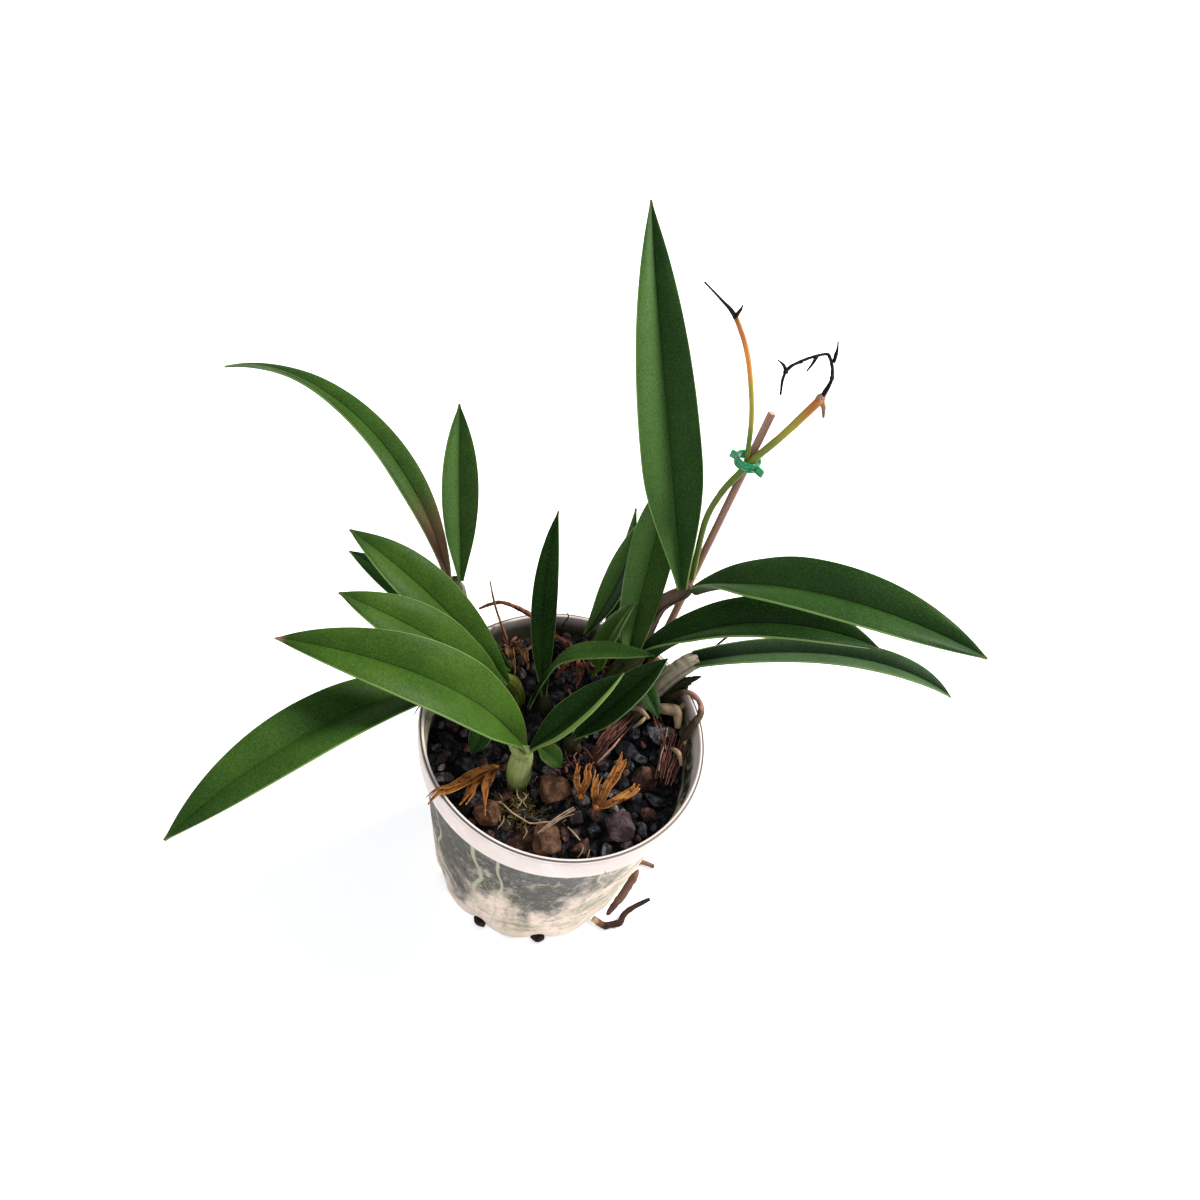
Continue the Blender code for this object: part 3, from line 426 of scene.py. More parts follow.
# The pseudobulbs. Fleshy upright stems, one for each year's growth, wrinkled lengthwise and narrowed to a neck
# where the leaves start. The stub beside the leaning one is a dead leaf base; its blade comes with the sheaths.
BULBS = {
    "bulb_front": [
        (-13, -18, 88, 3.6), (-13, -18.5, 97, 4.8), (-13.5, -18, 105, 5.0), (-13.5, -17, 111, 4.7),
        (-13.5, -16.5, 115.2, 4.0), (-16, -17.6, 119.5, 2.9), (-18.5, -18.5, 124, 1.8)],
    "bulb_left_outer": [
        (-27, 3, 86, 3.6), (-29, 3.5, 97, 4.8), (-32, 3.8, 110, 4.8), (-34, 4, 123, 3.2), (-37, 3.6, 127, 2.0)],
    "bulb_left_inner": [
        (-22, 19, 88, 3.6), (-24, 18.5, 99, 4.4), (-26, 17, 109, 4.2), (-27.5, 14.5, 116.5, 3.2),
        (-30.5, 13, 121, 2.0)],
    "bulb_left_back": [
        (-35.5, 31, 88, 3.8), (-36.5, 29.5, 99, 4.2), (-40, 28, 111, 4.2), (-45.5, 29.5, 120.3, 4.0),
        (-51.5, 33, 125.5, 4.0), (-56.5, 36, 131, 3.8), (-58.3, 36.4, 138, 3.6), (-58.8, 33.8, 145, 3.0),
        (-60, 33.5, 150, 1.8)],
    "bulb_centre": [(-11, 21, 88, 3.6), (-11, 20.5, 96, 4.4), (-11.5, 19, 102.5, 3.2), (-12.6, 20, 107, 1.8)],
    "bulb_back": [(3, 46, 92, 3.6), (3, 47, 101, 4.4), (3, 49, 109.5, 3.2), (4.5, 51, 113.5, 1.8)],
    "bulb_right": [
        (14, 33, 88, 3.8), (15, 34, 104, 5.2), (18, 35.5, 118, 5.4), (21.5, 36.5, 129.5, 3.4), (22, 37.5, 134, 1.9)],
    "bulb_tall": [
        (17, 45, 92, 3.6), (19, 46.5, 108, 4.4), (21.5, 49, 128, 4.2), (24.5, 50.5, 148, 3.4),
        (31.8, 48, 163.5, 2.8), (33, 48, 169, 1.8)],
    "bulb_leaning": [
        (24, 22, 90, 3.4), (28, 28, 101, 4.0), (33, 34, 111, 4.3), (38.5, 38.4, 119.8, 4.1),
        (43.8, 42.4, 125.2, 4.0), (47.2, 44.6, 126.6, 3.7)],
    "bulb_new": [(6, 4, 88, 3.2), (5.5, 3, 97, 4.0), (4.3, 0.5, 105.2, 3.0), (7, 2.5, 110, 1.6)],
    "old_sheath_stub": [
        (33, 37.5, 94, 1.8), (35.5, 37.8, 104, 2.0), (39.8, 37.2, 110, 1.9), (43.4, 36, 116.6, 1.5),
        (47.5, 36.8, 119, 0.5)],
}
# For each bulb its skin, the lighter streaks on it and its shade
BULB_LOOKS = {
    "bulb_front": ((0.30, 0.37, 0.11), (0.46, 0.50, 0.23), (0.12, 0.17, 0.035)),
    "bulb_left_inner": ((0.07, 0.09, 0.012), (0.14, 0.16, 0.030), (0.02, 0.03, 0.006)),
    "bulb_leaning": ((0.16, 0.14, 0.090), (0.36, 0.31, 0.23), (0.040, 0.036, 0.022)),
    "bulb_tall": ((0.050, 0.027, 0.018), (0.16, 0.10, 0.070), (0.012, 0.007, 0.006)),
    "bulb_left_back": ((0.060, 0.080, 0.020), (0.12, 0.12, 0.05), (0.022, 0.020, 0.010)),
    "bulb_centre": ((0.020, 0.020, 0.009), (0.050, 0.045, 0.020), (0.006, 0.005, 0.004)),
    "bulb_back": ((0.040, 0.018, 0.013), (0.11, 0.050, 0.030), (0.008, 0.005, 0.004)),
    "bulb_right": ((0.030, 0.045, 0.012), (0.080, 0.090, 0.035), (0.012, 0.012, 0.006)),
    "bulb_new": ((0.022, 0.024, 0.009), (0.060, 0.050, 0.022), (0.007, 0.006, 0.005)),
    "old_sheath_stub": ((0.010, 0.016, 0.005), (0.035, 0.042, 0.014), (0.003, 0.003, 0.002)),
}
PLAIN_BULB = ((0.06, 0.10, 0.02), (0.12, 0.16, 0.05), (0.02, 0.03, 0.01))


def smooth_path(points, v):
    """Read a smooth curve through the points at v from 0 to 1; further numbers ride along."""
    ends = [points[0]] + list(points) + [points[-1]]
    place = min(max(v, 0.0), 1.0) * (len(points) - 1)
    first = min(int(place), len(points) - 2)
    t = place - first
    row = []
    for p0, p1, p2, p3 in zip(*ends[first:first + 4]):
        bend = 2 * p0 - 5 * p1 + 4 * p2 - p3
        twist = 3 * (p1 - p2) + p3 - p0
        row.append(0.5 * (2 * p1 + (p2 - p0) * t + bend * t * t + twist * t ** 3))
    return row


def frames_along(points, count):
    """Centre, radius and two cross directions at even steps, turned as little as possible on the way."""
    rows = [smooth_path(points, step / count) for step in range(count + 1)]
    centres = [Vector(row[:3]) for row in rows]
    side = None
    frames = []
    for index, centre in enumerate(centres):
        along = (centres[min(index + 1, count)] - centres[max(index - 1, 0)]).normalized()
        if side is None:
            side = along.orthogonal().normalized()
        side = (side - along * side.dot(along)).normalized()
        frames.append((centre, rows[index][3], side, along.cross(side)))
    return frames


def from_grid(name, across, along, spot):
    """A grid primitive whose corner (i, j), counted across and along, is moved to spot(i, j) in millimetres."""
    bpy.ops.mesh.primitive_grid_add(x_subdivisions=across, y_subdivisions=along, size=1)
    piece = bpy.context.object
    piece.name = name
    for vert in piece.data.vertices:
        vert.co = Vector(spot(round((vert.co.x + 0.5) * across), round((vert.co.y + 0.5) * along))) * MM
    return piece


def rod(name, points, around, along, wrinkle=0.0, lobes=9, seed=0, rough=0.0):
    """A round stem through (x, y, z, radius) points, with rounded ends and lengthwise wrinkles."""
    frames = frames_along(points, along)
    offset = Vector((seed * 2.3, seed * 5.1, seed))

    def spot(i, j):
        centre, radius, side, other = frames[j]
        turn = 2 * math.pi * (i % around) / around
        tip = min(j, along - j)
        if tip < 3:
            last, inner = (0, 3) if j < 3 else (along, along - 3)
            inward = (frames[inner][0] - frames[last][0]).normalized()
            centre = frames[last][0] + inward * radius * (0.0, 0.05, 0.4)[tip]
            radius *= (0.0, 0.75, 1.0)[tip]
        radius *= 1 + wrinkle * math.cos(lobes * turn + 3 * noise.noise(offset + Vector((0, 0, j * 0.2))))
        if rough:
            radius *= 1 + rough * noise.noise(offset + centre / 2.2 + Vector((math.cos(turn), math.sin(turn), 0)))
        return centre + (side * math.cos(turn) + other * math.sin(turn)) * radius

    piece = from_grid(name, around, along, spot)
    close_up(piece)
    return piece


for index, (name, points) in enumerate(BULBS.items()):
    dry = name in ("bulb_tall", "old_sheath_stub", "bulb_leaning")
    bulb = rod(name + "_flesh", points, 28, 16 * (len(points) - 1), 0.035 if dry else 0.022, 10, index, 0.05)
    skin, shader = new_finish(name + "_skin", (0.2, 0.3, 0.1), 0.75 if dry else 0.45, 0.15)
    under, over, shadow = BULB_LOOKS.get(name, PLAIN_BULB)
    place, sheet = spots(shader)
    streaks = clouds(stretched(sheet, (12 if dry else 26, 1.2, 1)), 1.0, 5, 0.6, 0.3)
    body = paint(under, (streaks, 0.38, 0.64, 1, over), (clouds(place, 170, 5, 0.6), 0.54, 0.74, 1, shadow),
                 (axes(sheet)[1], 0.42, 0.12, 1, shadow))
    dress(shader, body, streaks, 0.35, 0.0006)
    settle(bulb, skin, "dead_sheath" if "stub" in name else "bulb_skin", name)

# The leaves. Thick leathery straps, each folded along its midrib into a gutter that clasps the bulb's neck,
# with a thin pale margin, fine parallel veins and a soft waxy sheen. Older ones are darker.
LEAF_THICKNESS = 2.0
LEAF_ACROSS = 22
LEAF_ALONG = 60
BASE_FOLD = 62.0
FOLD_CLEARANCE = 0.75
TIP_HALF_WIDTH = 0.3
LEAF_SOCKETS = (("INPUT", "Vector", ("Sheet", "Place")),
                ("INPUT", "Color", ("Deep", "Fresh", "Margin", "Base", "Tip")),
                ("INPUT", "Float", ("Half", "Lit Lip", "Base Reach", "Tip Reach")),
                ("OUTPUT", "Color", ("Color",)), ("OUTPUT", "Float", ("Roughness", "Height")))


def leaf_group():
    """The look of a strap leaf, from its own sheet (u across, v along) and its place."""
    group = bpy.data.node_groups.new("strap_leaf", "ShaderNodeTree")
    for side, kind, names in LEAF_SOCKETS:
        for name in names:
            group.interface.new_socket(name, in_out=side, socket_type="NodeSocket" + kind)
    given = group.nodes.new("NodeGroupInput").outputs
    result = group.nodes.new("NodeGroupOutput").inputs
    sheet, place, deep, fresh, margin = [given[name] for name in ("Sheet", "Place", "Deep", "Fresh", "Margin")]
    u, v, _ = axes(sheet)
    off = calc("ABSOLUTE", calc("SUBTRACT", times(u, 2.0), 1.0))
    veins = clouds(stretched(sheet, (46, 1.6, 1)), 1.0, 3, 0.6, 0.15)
    wide = clouds(stretched(sheet, (5, 1.4, 1)), 1.0, 3, 0.5, 0.4)
    cells = clouds(place, 1500, 4, 0.75)
    cloud = clouds(place, 42, 6, 0.6)
    specks = node(place, "TexVoronoi", {"Vector": place, "Scale": 160.0}).outputs["Distance"]
    # Lit Half is painted light: one half of the blade is made lighter, as the half that faces the light.
    body = paint(deep, (cloud, 0.20, 0.82, 1, fresh), (veins, 0.5, 0.72, 0.22, fresh), (wide, 0.55, 0.75, 0.25, deep),
                 (u, 0.52, 0.48, given["Half"], (0.11, 0.22, 0.055)), (cells, 0.51, 0.62, 0.42, (0.004, 0.016, 0.004)),
                 (cells, 0.49, 0.38, 0.11, (0.17, 0.26, 0.09)), (v, 0.76, 1.0, 0.45, (0.008, 0.030, 0.006)))
    rib_fades = span(v, 1.0, 0.85)
    # The darker midrib line is partly the rib's own darker green and partly painted shade in the crease of the fold.
    body = paint(body, (off, 0.075, 0.0, times(rib_fades, 0.5), (0.006, 0.022, 0.003)),
                 (off, 0.018, 0.004, times(span(v, 0.98, 0.8), 0.2), margin),
                 (specks, 0.09, 0.05, times(span(cloud, 0.55, 0.6), 0.6), (0.10, 0.08, 0.03)),
                 (calc("SUBTRACT", v, given["Base Reach"]), 0.05, -0.14, 0.9, given["Base"]),
                 (plus(v, given["Tip Reach"]), 0.97, 1.01, 1, given["Tip"]),
                 (plus(off, times(calc("SUBTRACT", cloud, 0.5), 0.03)), 0.965, 0.995, 0.6, margin),
                 # Lit Lip is painted light: a pale strip along the outer edge of one half, where the fold catches the
                 # light.
                 (u, 0.86, 0.90, given["Lit Lip"], (0.20, 0.29, 0.075)))
    matt = plus(plus(times(cloud, 0.22), 0.30), times(cells, 0.1))
    rib = times(times(span(off, 0.075, 0.0), rib_fades), 0.9)
    lift = calc("SUBTRACT", plus(times(veins, 0.7), times(cells, 0.25)), rib)
    for name, value in (("Color", body), ("Roughness", matt), ("Height", lift)):
        group.links.new(value, result[name])
    return group


strap_leaf = leaf_group()
LEAF_COLOURS = {
    # pale is partly a new leaf's own lighter green and partly painted light that lifts it out of the shade it sits in.
    "pale": ((0.130, 0.200, 0.045), (0.200, 0.290, 0.075)),
    "fresh": ((0.020, 0.056, 0.005), (0.044, 0.094, 0.009)),
    "mid": ((0.014, 0.046, 0.005), (0.036, 0.082, 0.010)),
    "dark": ((0.010, 0.038, 0.006), (0.026, 0.066, 0.012)),
    "grey": ((0.026, 0.056, 0.022), (0.055, 0.100, 0.045)),
    "deep": ((0.003, 0.017, 0.001), (0.010, 0.036, 0.004)),
}
MARGIN = (0.20, 0.31, 0.09)


# half is how much painted light one half of the blade gets; it is made lighter as if facing the light.
def leaf_finish(name, colours, half=0.0, lip=0.0, foot=None, foot_reach=0.0, tip=(0.10, 0.09, 0.03), tip_reach=0.0):
    finish, shader = new_finish(name, (0.1, 0.2, 0.05), 0.4, 0.06)
    place, sheet = spots(shader)
    deep_green, fresh_green = LEAF_COLOURS[colours]
    values = {"Sheet": sheet, "Place": place, "Deep": deep_green, "Fresh": fresh_green, "Margin": MARGIN, "Tip": tip,
              "Base": foot or fresh_green, "Half": half, "Lit Lip": lip, "Base Reach": foot_reach, "Tip Reach": tip_reach}
    look = node(shader, "Group", values, node_tree=strap_leaf).outputs
    dress(shader, look["Color"], look["Height"], 0.25, 0.0005, look["Roughness"])
    return finish


def direction(heading, rise):
    turn, slope = math.radians(heading), math.radians(rise)
    return Vector((math.cos(slope) * math.cos(turn), math.cos(slope) * math.sin(turn), math.sin(slope)))


def between(values, u):
    place = min(max(u, 0.0), 1.0) * (len(values) - 1)
    first = min(int(place), len(values) - 2)
    return values[first] + (values[first + 1] - values[first]) * (place - first)


def leaf(name, finish, base, heading, rise, length, width, sweep=0.0, widest=0.45, roll=(0.0, 0.0), fold=20.0,
         neck=0.28, stalk=0.0, along=LEAF_ALONG, slot="leaf_dark"):
    """The same blade as the solid's, with a soft crease, full wings and gently waved edges."""
    rows = []
    centre = Vector(base)
    substeps = 4
    for row in range(along + 1):
        v = row / along
        turn = heading + sweep * v
        line = direction(turn, between(rise, v))
        flat = Vector((math.sin(math.radians(turn)), -math.cos(math.radians(turn)), 0))
        upper = flat.cross(line)
        lean = math.radians(between(roll, v))
        side = flat * math.cos(lean) + upper * math.sin(lean)
        up = upper * math.cos(lean) - flat * math.sin(lean)
        swell = math.sin(math.pi / 2 * min(max(v - stalk, 0.0) / (widest - stalk), 1.0)) ** 1.1
        taper = 1 - max(0.0, (v - widest) / (1 - widest)) ** 2.2
        half = max(width / 2 * (neck + (1 - neck) * swell) * taper, TIP_HALF_WIDTH)
        gutter = math.radians(fold + (BASE_FOLD - fold) * max(0.0, 1 - v / 0.3) ** 1.5)
        gutter = min(gutter, math.atan(half / FOLD_CLEARANCE))
        rows.append((centre.copy(), side, up, gutter, half))
        for part in range(substeps):
            w = v + (part + 0.5) / substeps / along
            centre += direction(heading + sweep * w, between(rise, w)) * (length / along / substeps)
    seed = Vector((len("blade_" + name) * 1.3, base[0], base[1]))

    def spot(i, j):
        middle, side, up, gutter, half = rows[j]
        a = 2 * i / LEAF_ACROSS - 1
        off = abs(a)
        crease = math.sqrt(a * a + 0.004) - 0.0632
        bulge = 0.075 * (1 - (2 * off - 1) ** 2)
        wave = 0.35 * off ** 3 * noise.noise(seed + Vector((a * 1.5, j / 9.0, 0)))
        lift = half * (crease * math.sin(gutter) + bulge) + wave
        return middle + side * (half * a * math.cos(gutter)) + up * lift

    piece = from_grid("blade_" + name, LEAF_ACROSS, along, spot)
    thick = piece.vertex_groups.new(name="thick")
    for vert in piece.data.vertices:
        i, j = vert.index % (LEAF_ACROSS + 1), vert.index // (LEAF_ACROSS + 1)
        off = abs(2 * i / LEAF_ACROSS - 1)
        thin = max(off ** 3, (j / along) ** 6)
        room = rows[j][4] / math.tan(rows[j][3]) / LEAF_THICKNESS
        thick.add([vert.index], min(room, 1 - 0.62 * thin), "REPLACE")
    blade = piece.modifiers.new("Blade", "SOLIDIFY")
    blade.thickness = LEAF_THICKNESS * MM
    blade.offset = 0.0
    blade.vertex_group = "thick"
    bpy.ops.object.modifier_apply(modifier="Blade")
    settle(piece, finish, slot, "leaf_" + name, angle=50)


PURPLE_FOOT = (0.130, 0.066, 0.044)
PALE_FOOT = (0.25, 0.32, 0.10)
SHADED_FOOT = (0.004, 0.014, 0.002)
PINK_TIP = (0.28, 0.13, 0.09)
fresh = leaf_finish("leaf_fresh", "fresh")
mid = leaf_finish("leaf_mid", "mid")
dark = leaf_finish("leaf_dark", "dark")
deep = leaf_finish("leaf_deep", "deep")

# On the left
leaf("lower_left", leaf_finish("leaf_low_left", "mid"), (-37, 2.5, 125.5), 226.5, (41, -25), 145, 25.5, 10, 0.54,
     (-17, 14), 24)
leaf("front_left", leaf_finish("leaf_front_left", "fresh", foot=PALE_FOOT, foot_reach=0.05, tip=PINK_TIP,
                               tip_reach=0.012), (-15.5, -17, 116.5), 202, (75, -9), 123, 29.5, -19, 0.43, (10, 10),
     22, slot="leaf_fresh")
leaf("left_short", fresh, (-32, 5.2, 125.5), 199, (57, 15), 81, 23, -19, 0.49, (14, 8), 14, slot="leaf_fresh")
leaf("left_upper", fresh, (-29.5, 12, 118.8), 173, (55, 22), 93, 22, -3, 0.56, (12, 6), 18, slot="leaf_fresh")
leaf("left_under", deep, (-29.5, 18.5, 118), 174, (40, -10), 86, 18, -19, 0.45, (0, 12), 18)
leaf("arching_left", leaf_finish("leaf_purple_foot", "mid", foot=PURPLE_FOOT, foot_reach=0.25), (-61, 31, 148), 135,
     (57, -32), 149, 14.2, 36, 0.38, (15, -30), 24)
# Painted light: one half of this leaf is made lighter.
leaf("upright_left", leaf_finish("leaf_lit_half", "mid", half=0.6), (-57.5, 35, 148.6), 121, (69, 74), 79, 15.5, -2,
     0.52, (3, 3))

# In the middle
leaf("centre_upright", deep, (-12, 18.5, 104.5), 123, (58, 54), 84, 11.5, -30, 0.5, (6, 6), 21)
leaf("centre_bent", leaf_finish("leaf_bent", "mid", foot=SHADED_FOOT, foot_reach=0.38), (-16.5, 13, 103.5), 47,
     (82, 77, 69, 6, 3, 14), 73.5, 9, -44, 0.66, fold=22, stalk=0.42, slot="leaf_fresh")
leaf("back", leaf_finish("leaf_back", "deep", half=0.55), (-1.5, 52.5, 111.5), 50, (64, 88), 71, 13.5, 15, 0.5,
     fold=28)
leaf("back_narrow", dark, (6, 54.5, 111.3), 84, (67, 41), 60, 7.5, 16, fold=25, along=36)
leaf("back_small", fresh, (6.3, 35.4, 109), 40, (88, 72), 51, 14, -20, 0.4, fold=19, neck=0.4, along=36,
     slot="leaf_fresh")
leaf("broad_back", leaf_finish("leaf_broad", "mid", half=0.5), (17.2, 36.6, 131), 99, (59, 62), 80, 19.5, -12, 0.6,
     (-6, 8), neck=0.66)
# Painted light: a pale strip along one edge of this folded leaf.
leaf("front_folded", leaf_finish("leaf_folded", "deep", lip=0.85), (-10.5, -15, 116.5), 30, (54, 45), 53, 16, 15,
     0.46, (-4, 2), 37, 0.2, slot="leaf_fresh")
leaf("new_dark", deep, (5.6, 1.4, 107.5), 38, (50, 38), 53, 17, 11, 0.48, fold=29)
# Its pale finish is partly painted light, lifting this leaf out of the shade it sits in.
leaf("new_round", leaf_finish("leaf_round", "pale"), (0, 11.2, 102.5), -27, (15, 0), 12, 7.5, fold=25, along=20,
     slot="leaf_fresh")
leaf("small_right", leaf_finish("leaf_small", "deep"), (24.2, 35.2, 113.5), -52, (14, -16), 21, 9, fold=20, along=24,
     slot="leaf_fresh")
leaf("front_small", mid, (-8, -11, 113), -20, (5, -35), 12, 10.5, fold=28, along=20, slot="leaf_fresh")
leaf("drooping_left", deep, (-30.8, -3.5, 109), 258, (5, -35), 15, 10, fold=22, along=20)

# On the right
leaf("tall_right", leaf_finish("leaf_tall", "dark", half=0.4), (30.3, 47.8, 166.5), 128.3, (57, 33), 152, 27.5, -16,
     0.36, (26, 12), 30)
leaf("arching_right", leaf_finish("leaf_arch", "dark"), (36.5, 46.5, 166.5), -30, (60, -18), 126, 26.5, 28, 0.44,
     (0, -23), 26)
leaf("low_right", deep, (27.8, 35.4, 131.5), 1, (70, -8), 103, 24, -5, 0.5, (15, -15), 29, 0.64)
leaf("edge_on_right", leaf_finish("leaf_edge_on", "grey", foot=SHADED_FOOT, foot_reach=0.1), (47, 44.4, 124.2), 16,
     (26, -37), 128, 17, -5, 0.55, (-19, -24), 50, 0.92)

# The stake. A plain wooden dowel, cut square at the top, pushed into the gravel behind the tall growth and
# leaning back with it.
STAKE_FOOT = (26.0, 40.0, 88.0)
STAKE_TOP = (42.5, 76.0, 243.5)
stake = rod("stake_dowel", [(*STAKE_FOOT, 1.6), (*STAKE_TOP, 1.6)], 20, 40, 0.01, 5, 3, 0.02)
wood, shader = new_finish("stake_wood", (0.4, 0.26, 0.2), 0.65)
_, sheet = spots(shader)
grain = clouds(stretched(sheet, (14, 2.5, 1)), 1.0, 6, 0.65, 0.5)
body = paint((0.19, 0.080, 0.050), (grain, 0.34, 0.66, 1, (0.38, 0.21, 0.155)),
             (clouds(sheet, 9, 5), 0.62, 0.78, 1, (0.07, 0.035, 0.024)),
             (axes(sheet)[1], 0.962, 0.974, 1, (0.52, 0.33, 0.27)))
dress(shader, body, grain, 0.3, 0.0004)
settle(stake, wood, "stake_wood", "stake", angle=40)

# The flower stem. It rose from the tall bulb, through the clip, and forked; both branches have flowered and
# dried back from green through yellow and orange to black, with small bracts left at their joints.
STEM_MAIN = [
    (33.5, 52.5, 167, 1.3), (32.5, 56, 178, 1.3), (31.5, 61, 195, 1.3), (34, 64.5, 208, 1.3), (38, 66.6, 218, 1.4),
    (41.8, 68.6, 226, 1.4), (49.5, 75, 236, 1.5), (58.5, 84, 249, 1.7)]
STEM_BLACK = [
    (58, 83.5, 248.5, 1.1), (60, 88, 256, 0.7), (57, 92, 262, 0.65), (54, 92, 262.5, 0.55), (47, 88, 260, 0.6),
    (42.5, 83.5, 257, 0.6), (43.5, 80, 249, 0.4)]
STEM_THIN = [
    (39.5, 67.5, 221, 1.0), (36, 72, 240, 1.0), (31.5, 77, 253, 1.0), (26, 79, 266, 1.0), (18.5, 79.5, 278, 0.9),
    (12, 80, 283, 0.5), (5, 82, 286.5, 0.35)]
STEM_BRACTS = [
    ((58.8, 91.5, 260.5), (58, 96, 267)), ((52, 91, 262.3), (50, 86, 258)), ((42.7, 83.8, 257.3), (38.5, 84, 261)),
    ((18.5, 79, 278), (20, 78.5, 284))]
STEM_JOINTS = [(60, 88.3, 256.3, 1.0), (18.5, 79.3, 278, 1.2), (42.6, 83.6, 257.2, 1.0), (47, 88, 260, 0.9)]
FORK = (58.5, 84, 249)


def stem_finish(name, stops, roughness=0.45):
    """Colours along a stem, given as (how far along, colour)."""
    finish, shader = new_finish(name, stops[0][1], roughness, 0.15)
    _, sheet = spots(shader)
    streaks = clouds(stretched(sheet, (9, 5, 1)), 1.0, 5, 0.6)
    along = plus(axes(sheet)[1], times(calc("SUBTRACT", streaks, 0.5), 0.14))
    coats = [(along, start - 0.05, start + 0.03, 1, colour) for start, colour in stops[1:]]
    body = paint(stops[0][1], *coats, (streaks, 0.56, 0.72, 0.35, (0.05, 0.03, 0.02)))
    dress(shader, body, streaks, 0.3, 0.0004)
    return finish


OLIVE, YELLOW, ORANGE = (0.12, 0.17, 0.028), (0.34, 0.29, 0.045), (0.42, 0.15, 0.035)
BLACK = (0.006, 0.004, 0.004)
main_stem = rod("stem_main", STEM_MAIN, 16, 84, 0.03, 6, 1, 0.06)
settle(main_stem, stem_finish("stem_green", [(0, OLIVE), (0.62, (0.18, 0.21, 0.035)), (0.84, YELLOW),
                                             (0.93, ORANGE)]), "flower_stem", "flower_stem")
thin_stem = rod("stem_thin", STEM_THIN, 12, 72, 0.03, 5, 2, 0.06)
settle(thin_stem, stem_finish("stem_fork", [(0, OLIVE), (0.16, YELLOW), (0.36, (0.62, 0.25, 0.06)), (0.54, ORANGE),
                                            (0.66, BLACK)]), "flower_stem")
black_parts = [rod("stem_black", STEM_BLACK, 12, 66, 0.08, 5, 4, 0.35)]
scar = rock_at(FORK, 2.0, "scar", 4, 60, 1.0, 5, 0.2)
scar = join("stem_scar", [scar, rod("bract", [(*FORK, 1.1), (60.4, 82.4, 246.8, 0.9), (61.5, 80, 244, 0.4)],
                                    12, 16, 0.12, 3, 6, 0.3)])
settle(scar, stem_finish("stem_scar_skin", [(0, (0.30, 0.17, 0.12)), (0.7, (0.20, 0.12, 0.07))], 0.7), "flower_stem")
for index, (root, tip) in enumerate(STEM_BRACTS):
    middle = (Vector(root) + Vector(tip)) / 2 + Vector((0.4, 0.3, 0.2))
    black_parts.append(rod("bract", [(*root, 0.9), (*middle, 0.6), (*tip, 0.2)], 9, 14, 0.12, 3, 6 + index, 0.3))
for index, (x, y, z, radius) in enumerate(STEM_JOINTS):
    black_parts.append(rock_at((x, y, z), radius, "joint", 3, 60 + index, 1.0, 5, 0.2))
black_stem = join("stem_dried_tips", black_parts)
dried, shader = new_finish("dried_black", BLACK, 0.6, 0.1)
crust = clouds(spots(shader)[0], 700, 4, 0.7)
dress(shader, paint(BLACK, (crust, 0.5, 0.7, 1, (0.035, 0.020, 0.014))), crust, 0.6, 0.0005)
settle(black_stem, dried, "flower_stem", angle=50)

# The clip. Moulded in green plastic: a sprung ring that snaps round the stake and the stem, with a groove round
# its middle and two flat finger tabs to open it by.
CLIP_HEIGHT = 222.5
CLIP_RING = [(4.3, 1.7), (4.5, 1.9), (5.0, 1.9), (5.2, 1.6), (5.2, 0.5), (4.85, 0.15), (4.85, -0.15), (5.2, -0.5),
             (5.2, -1.6), (5.0, -1.9), (4.5, -1.9), (4.3, -1.7), (4.3, 1.7)]
CLIP_TABS = [(165.0, 4.2), (10.0, 2.8)]
foot, top = Vector(STAKE_FOOT), Vector(STAKE_TOP)
clip_centre = foot.lerp(top, (CLIP_HEIGHT - foot.z) / (top.z - foot.z)) + Vector((-0.7, -1.6, 0))
clip_lean = (top - foot).normalized().to_track_quat("Z", "Y")
clip_parts = [turned("clip_ring", CLIP_RING, 64)]
for turn, length in CLIP_TABS:
    tab = block(4.4 + length / 2, turn, 0, (length, 1.2, 3.2))
    soften = tab.modifiers.new("Edges", "BEVEL")
    soften.width = 0.35 * MM
    soften.segments = 3
    bpy.ops.object.modifier_apply(modifier="Edges")
    clip_parts.append(tab)
clip = join("clip_jaws", clip_parts)
for vert in clip.data.vertices:
    vert.co = clip_lean @ vert.co + clip_centre * MM
clip_plastic, _ = new_finish("clip_plastic", (0.006, 0.24, 0.085), 0.22, coat=0.3)
settle(clip, clip_plastic, "clip_plastic", "clip", angle=35)

